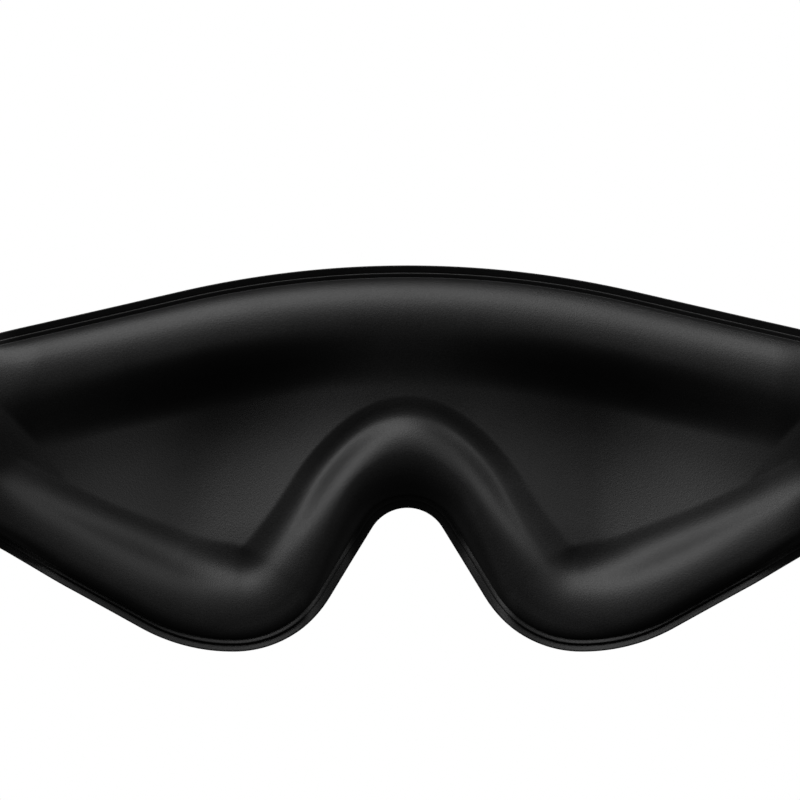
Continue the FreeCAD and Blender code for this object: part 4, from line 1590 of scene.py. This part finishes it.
@dataclass
class Studio:
    """The camera, the lights, the pale floor and the white surroundings."""

    distance: float = 0.8
    aim: tuple[float, float] = (-0.002, 0.0094)
    lens: float = 134.0
    sensor: float = 36.0
    lamps: tuple[Lamp, ...] = (
        Lamp("key_softbox", (-0.17, -0.34, 0.83), 4.6, 0.7),
        Lamp("left_softbox", (-0.75, -0.3, 0.42), 3.0, 0.55),
        Lamp("right_softbox", (0.75, -0.3, 0.42), 1.9, 0.55),
        Lamp("back_softbox", (0.5, 0.9, 0.8), 5.0, 0.9),
    )
    floor_drop: float = 0.17
    floor_shift: float = 0.06
    floor_radius: float = 0.42
    floor_fade: tuple[float, float] = (0.55, 0.98)
    floor_glow: float = 0.45
    pale: float = 0.82
    dark: float = 0.03
    ambient: float = 0.04

    def camera(self) -> None:
        """The camera, level, straight on to the side that faces the wearer."""
        data = bpy.data.cameras.new("camera")
        data.lens = self.lens
        data.sensor_width = self.sensor
        camera = bpy.data.objects.new("camera", data)
        camera.location = (self.aim[0], -self.distance, self.aim[1])
        camera.rotation_euler = (math.pi / 2, 0.0, 0.0)
        bpy.context.scene.collection.objects.link(camera)
        bpy.context.scene.camera = camera

    def world(self) -> None:
        """Surroundings that are white to look at and dim to be lit by."""
        world = bpy.data.worlds.new("white_studio")
        world.use_nodes = True
        tree = world.node_tree
        tree.nodes.clear()
        path = tree.nodes.new("ShaderNodeLightPath")
        mix = tree.nodes.new("ShaderNodeMixShader")
        out = tree.nodes.new("ShaderNodeOutputWorld")
        tree.links.new(path.outputs["Is Camera Ray"], mix.inputs[0])
        for place, strength in enumerate((self.ambient, 1.0), start=1):
            background = tree.nodes.new("ShaderNodeBackground")
            background.inputs["Strength"].default_value = strength
            background.inputs["Color"].default_value = (1.0, 1.0, 1.0, 1.0)
            tree.links.new(background.outputs[0], mix.inputs[place])
        tree.links.new(mix.outputs[0], out.inputs["Surface"])
        bpy.context.scene.world = world

    def _floor_finish(self) -> bpy.types.Material:
        """Pale to look at, dark to be lit by, and fading out towards the rim."""
        recipe = Recipe("pale_floor")
        centred = recipe.node("Mapping", {
            "Vector": recipe.place(), "Location": (0.0, self.floor_shift, self.floor_drop)})
        away = recipe.node("VectorMath", {0: centred.outputs[0]}, operation="LENGTH")
        start, stop = (self.floor_radius * share for share in self.floor_fade)
        fade = recipe.node("MapRange", {
            "Value": away.outputs["Value"], "From Min": start, "From Max": stop})
        pale, dark = (
            recipe.node("BsdfDiffuse", {"Color": (shade, shade, shade, 1.0)}).outputs[0]
            for shade in (self.pale, self.dark))
        glow = recipe.node(
            "Emission", {"Color": (1.0, 1.0, 1.0, 1.0), "Strength": self.floor_glow})
        seen = recipe.node("AddShader", {0: pale, 1: glow.outputs[0]}).outputs[0]
        path = recipe.node("LightPath").outputs["Is Camera Ray"]
        either = recipe.node("MixShader", {0: path, 1: dark, 2: seen}).outputs[0]
        clear = recipe.node("BsdfTransparent").outputs[0]
        return recipe.shade(
            recipe.node("MixShader", {0: fade.outputs[0], 1: either, 2: clear}))

    def floor(self) -> None:
        """A pale round floor below the mask."""
        place = (0.0, -self.floor_shift, -self.floor_drop)
        mesh = bmesh.new()
        bmesh.ops.create_circle(mesh, cap_ends=True, segments=96, radius=self.floor_radius)
        bmesh.ops.translate(mesh, vec=place, verts=mesh.verts)
        data = bpy.data.meshes.new("floor")
        mesh.to_mesh(data)
        mesh.free()
        data.materials.append(self._floor_finish())
        floor = bpy.data.objects.new("floor", data)
        bpy.context.scene.collection.objects.link(floor)
        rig.stage(floor)

    def build(self) -> None:
        """Everything round the mask."""
        self.camera()
        for lamp in self.lamps:
            lamp.build()
        self.world()
        self.floor()
        bpy.context.scene.view_settings.view_transform = "Standard"


# ---------------------------------------------------------------- assembly


def hinge(name: str) -> dict:
    """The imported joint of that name."""
    return next(joint for joint in frame["joints"] if joint["name"] == name)


def band_line(side: Side) -> BandLine:
    """The line of one side's band, through its two joints."""
    fold = hinge(f"{side.word}_band_swing")["pos_m"]
    bend = hinge(f"{side.word}_band_bend")["pos_m"]
    sign = side.value
    return BandLine(
        Stretch(side, sign * fold[0] / MM, fold[1] / MM, ANCHOR_HEADING),
        Stretch(side, sign * fold[0] / MM, fold[1] / MM, TEMPLE_HEADING),
        Stretch(side, sign * bend[0] / MM, bend[1] / MM, REAR_HEADING),
    )


def main() -> None:
    """Build the mask, its bands and the studio, and write the two sizes."""
    logging.basicConfig(level=logging.INFO, format="%(message)s")
    low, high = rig.box("outer_cover")
    outline = Outline(half_width=high.x / MM, crown_rise=high.z / MM, lobe_drop=-low.z / MM)
    finishes = Finishes()
    relief = Relief(outline, seat=COVER_SEAT)
    for piece in MaskShell(relief, finishes).build():
        log.info("mask: %s", piece.name)
    for side in Side:
        rise = hinge(f"{side.word}_band_swing")["pos_m"][2] / MM
        for piece in Band(side, finishes, band_line(side), rise).build():
            log.info("%s band: %s", side.word, piece.name)
    Studio().build()
    sizes = {"cad": CAD_BOX, "visual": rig.bounds()}
    with open(SIZE_FILE, "w", encoding="utf-8") as out:
        json.dump({name: [list(map(float, corner)) for corner in box] for name, box in sizes.items()}, out)


if __name__ == "__main__":
    main()
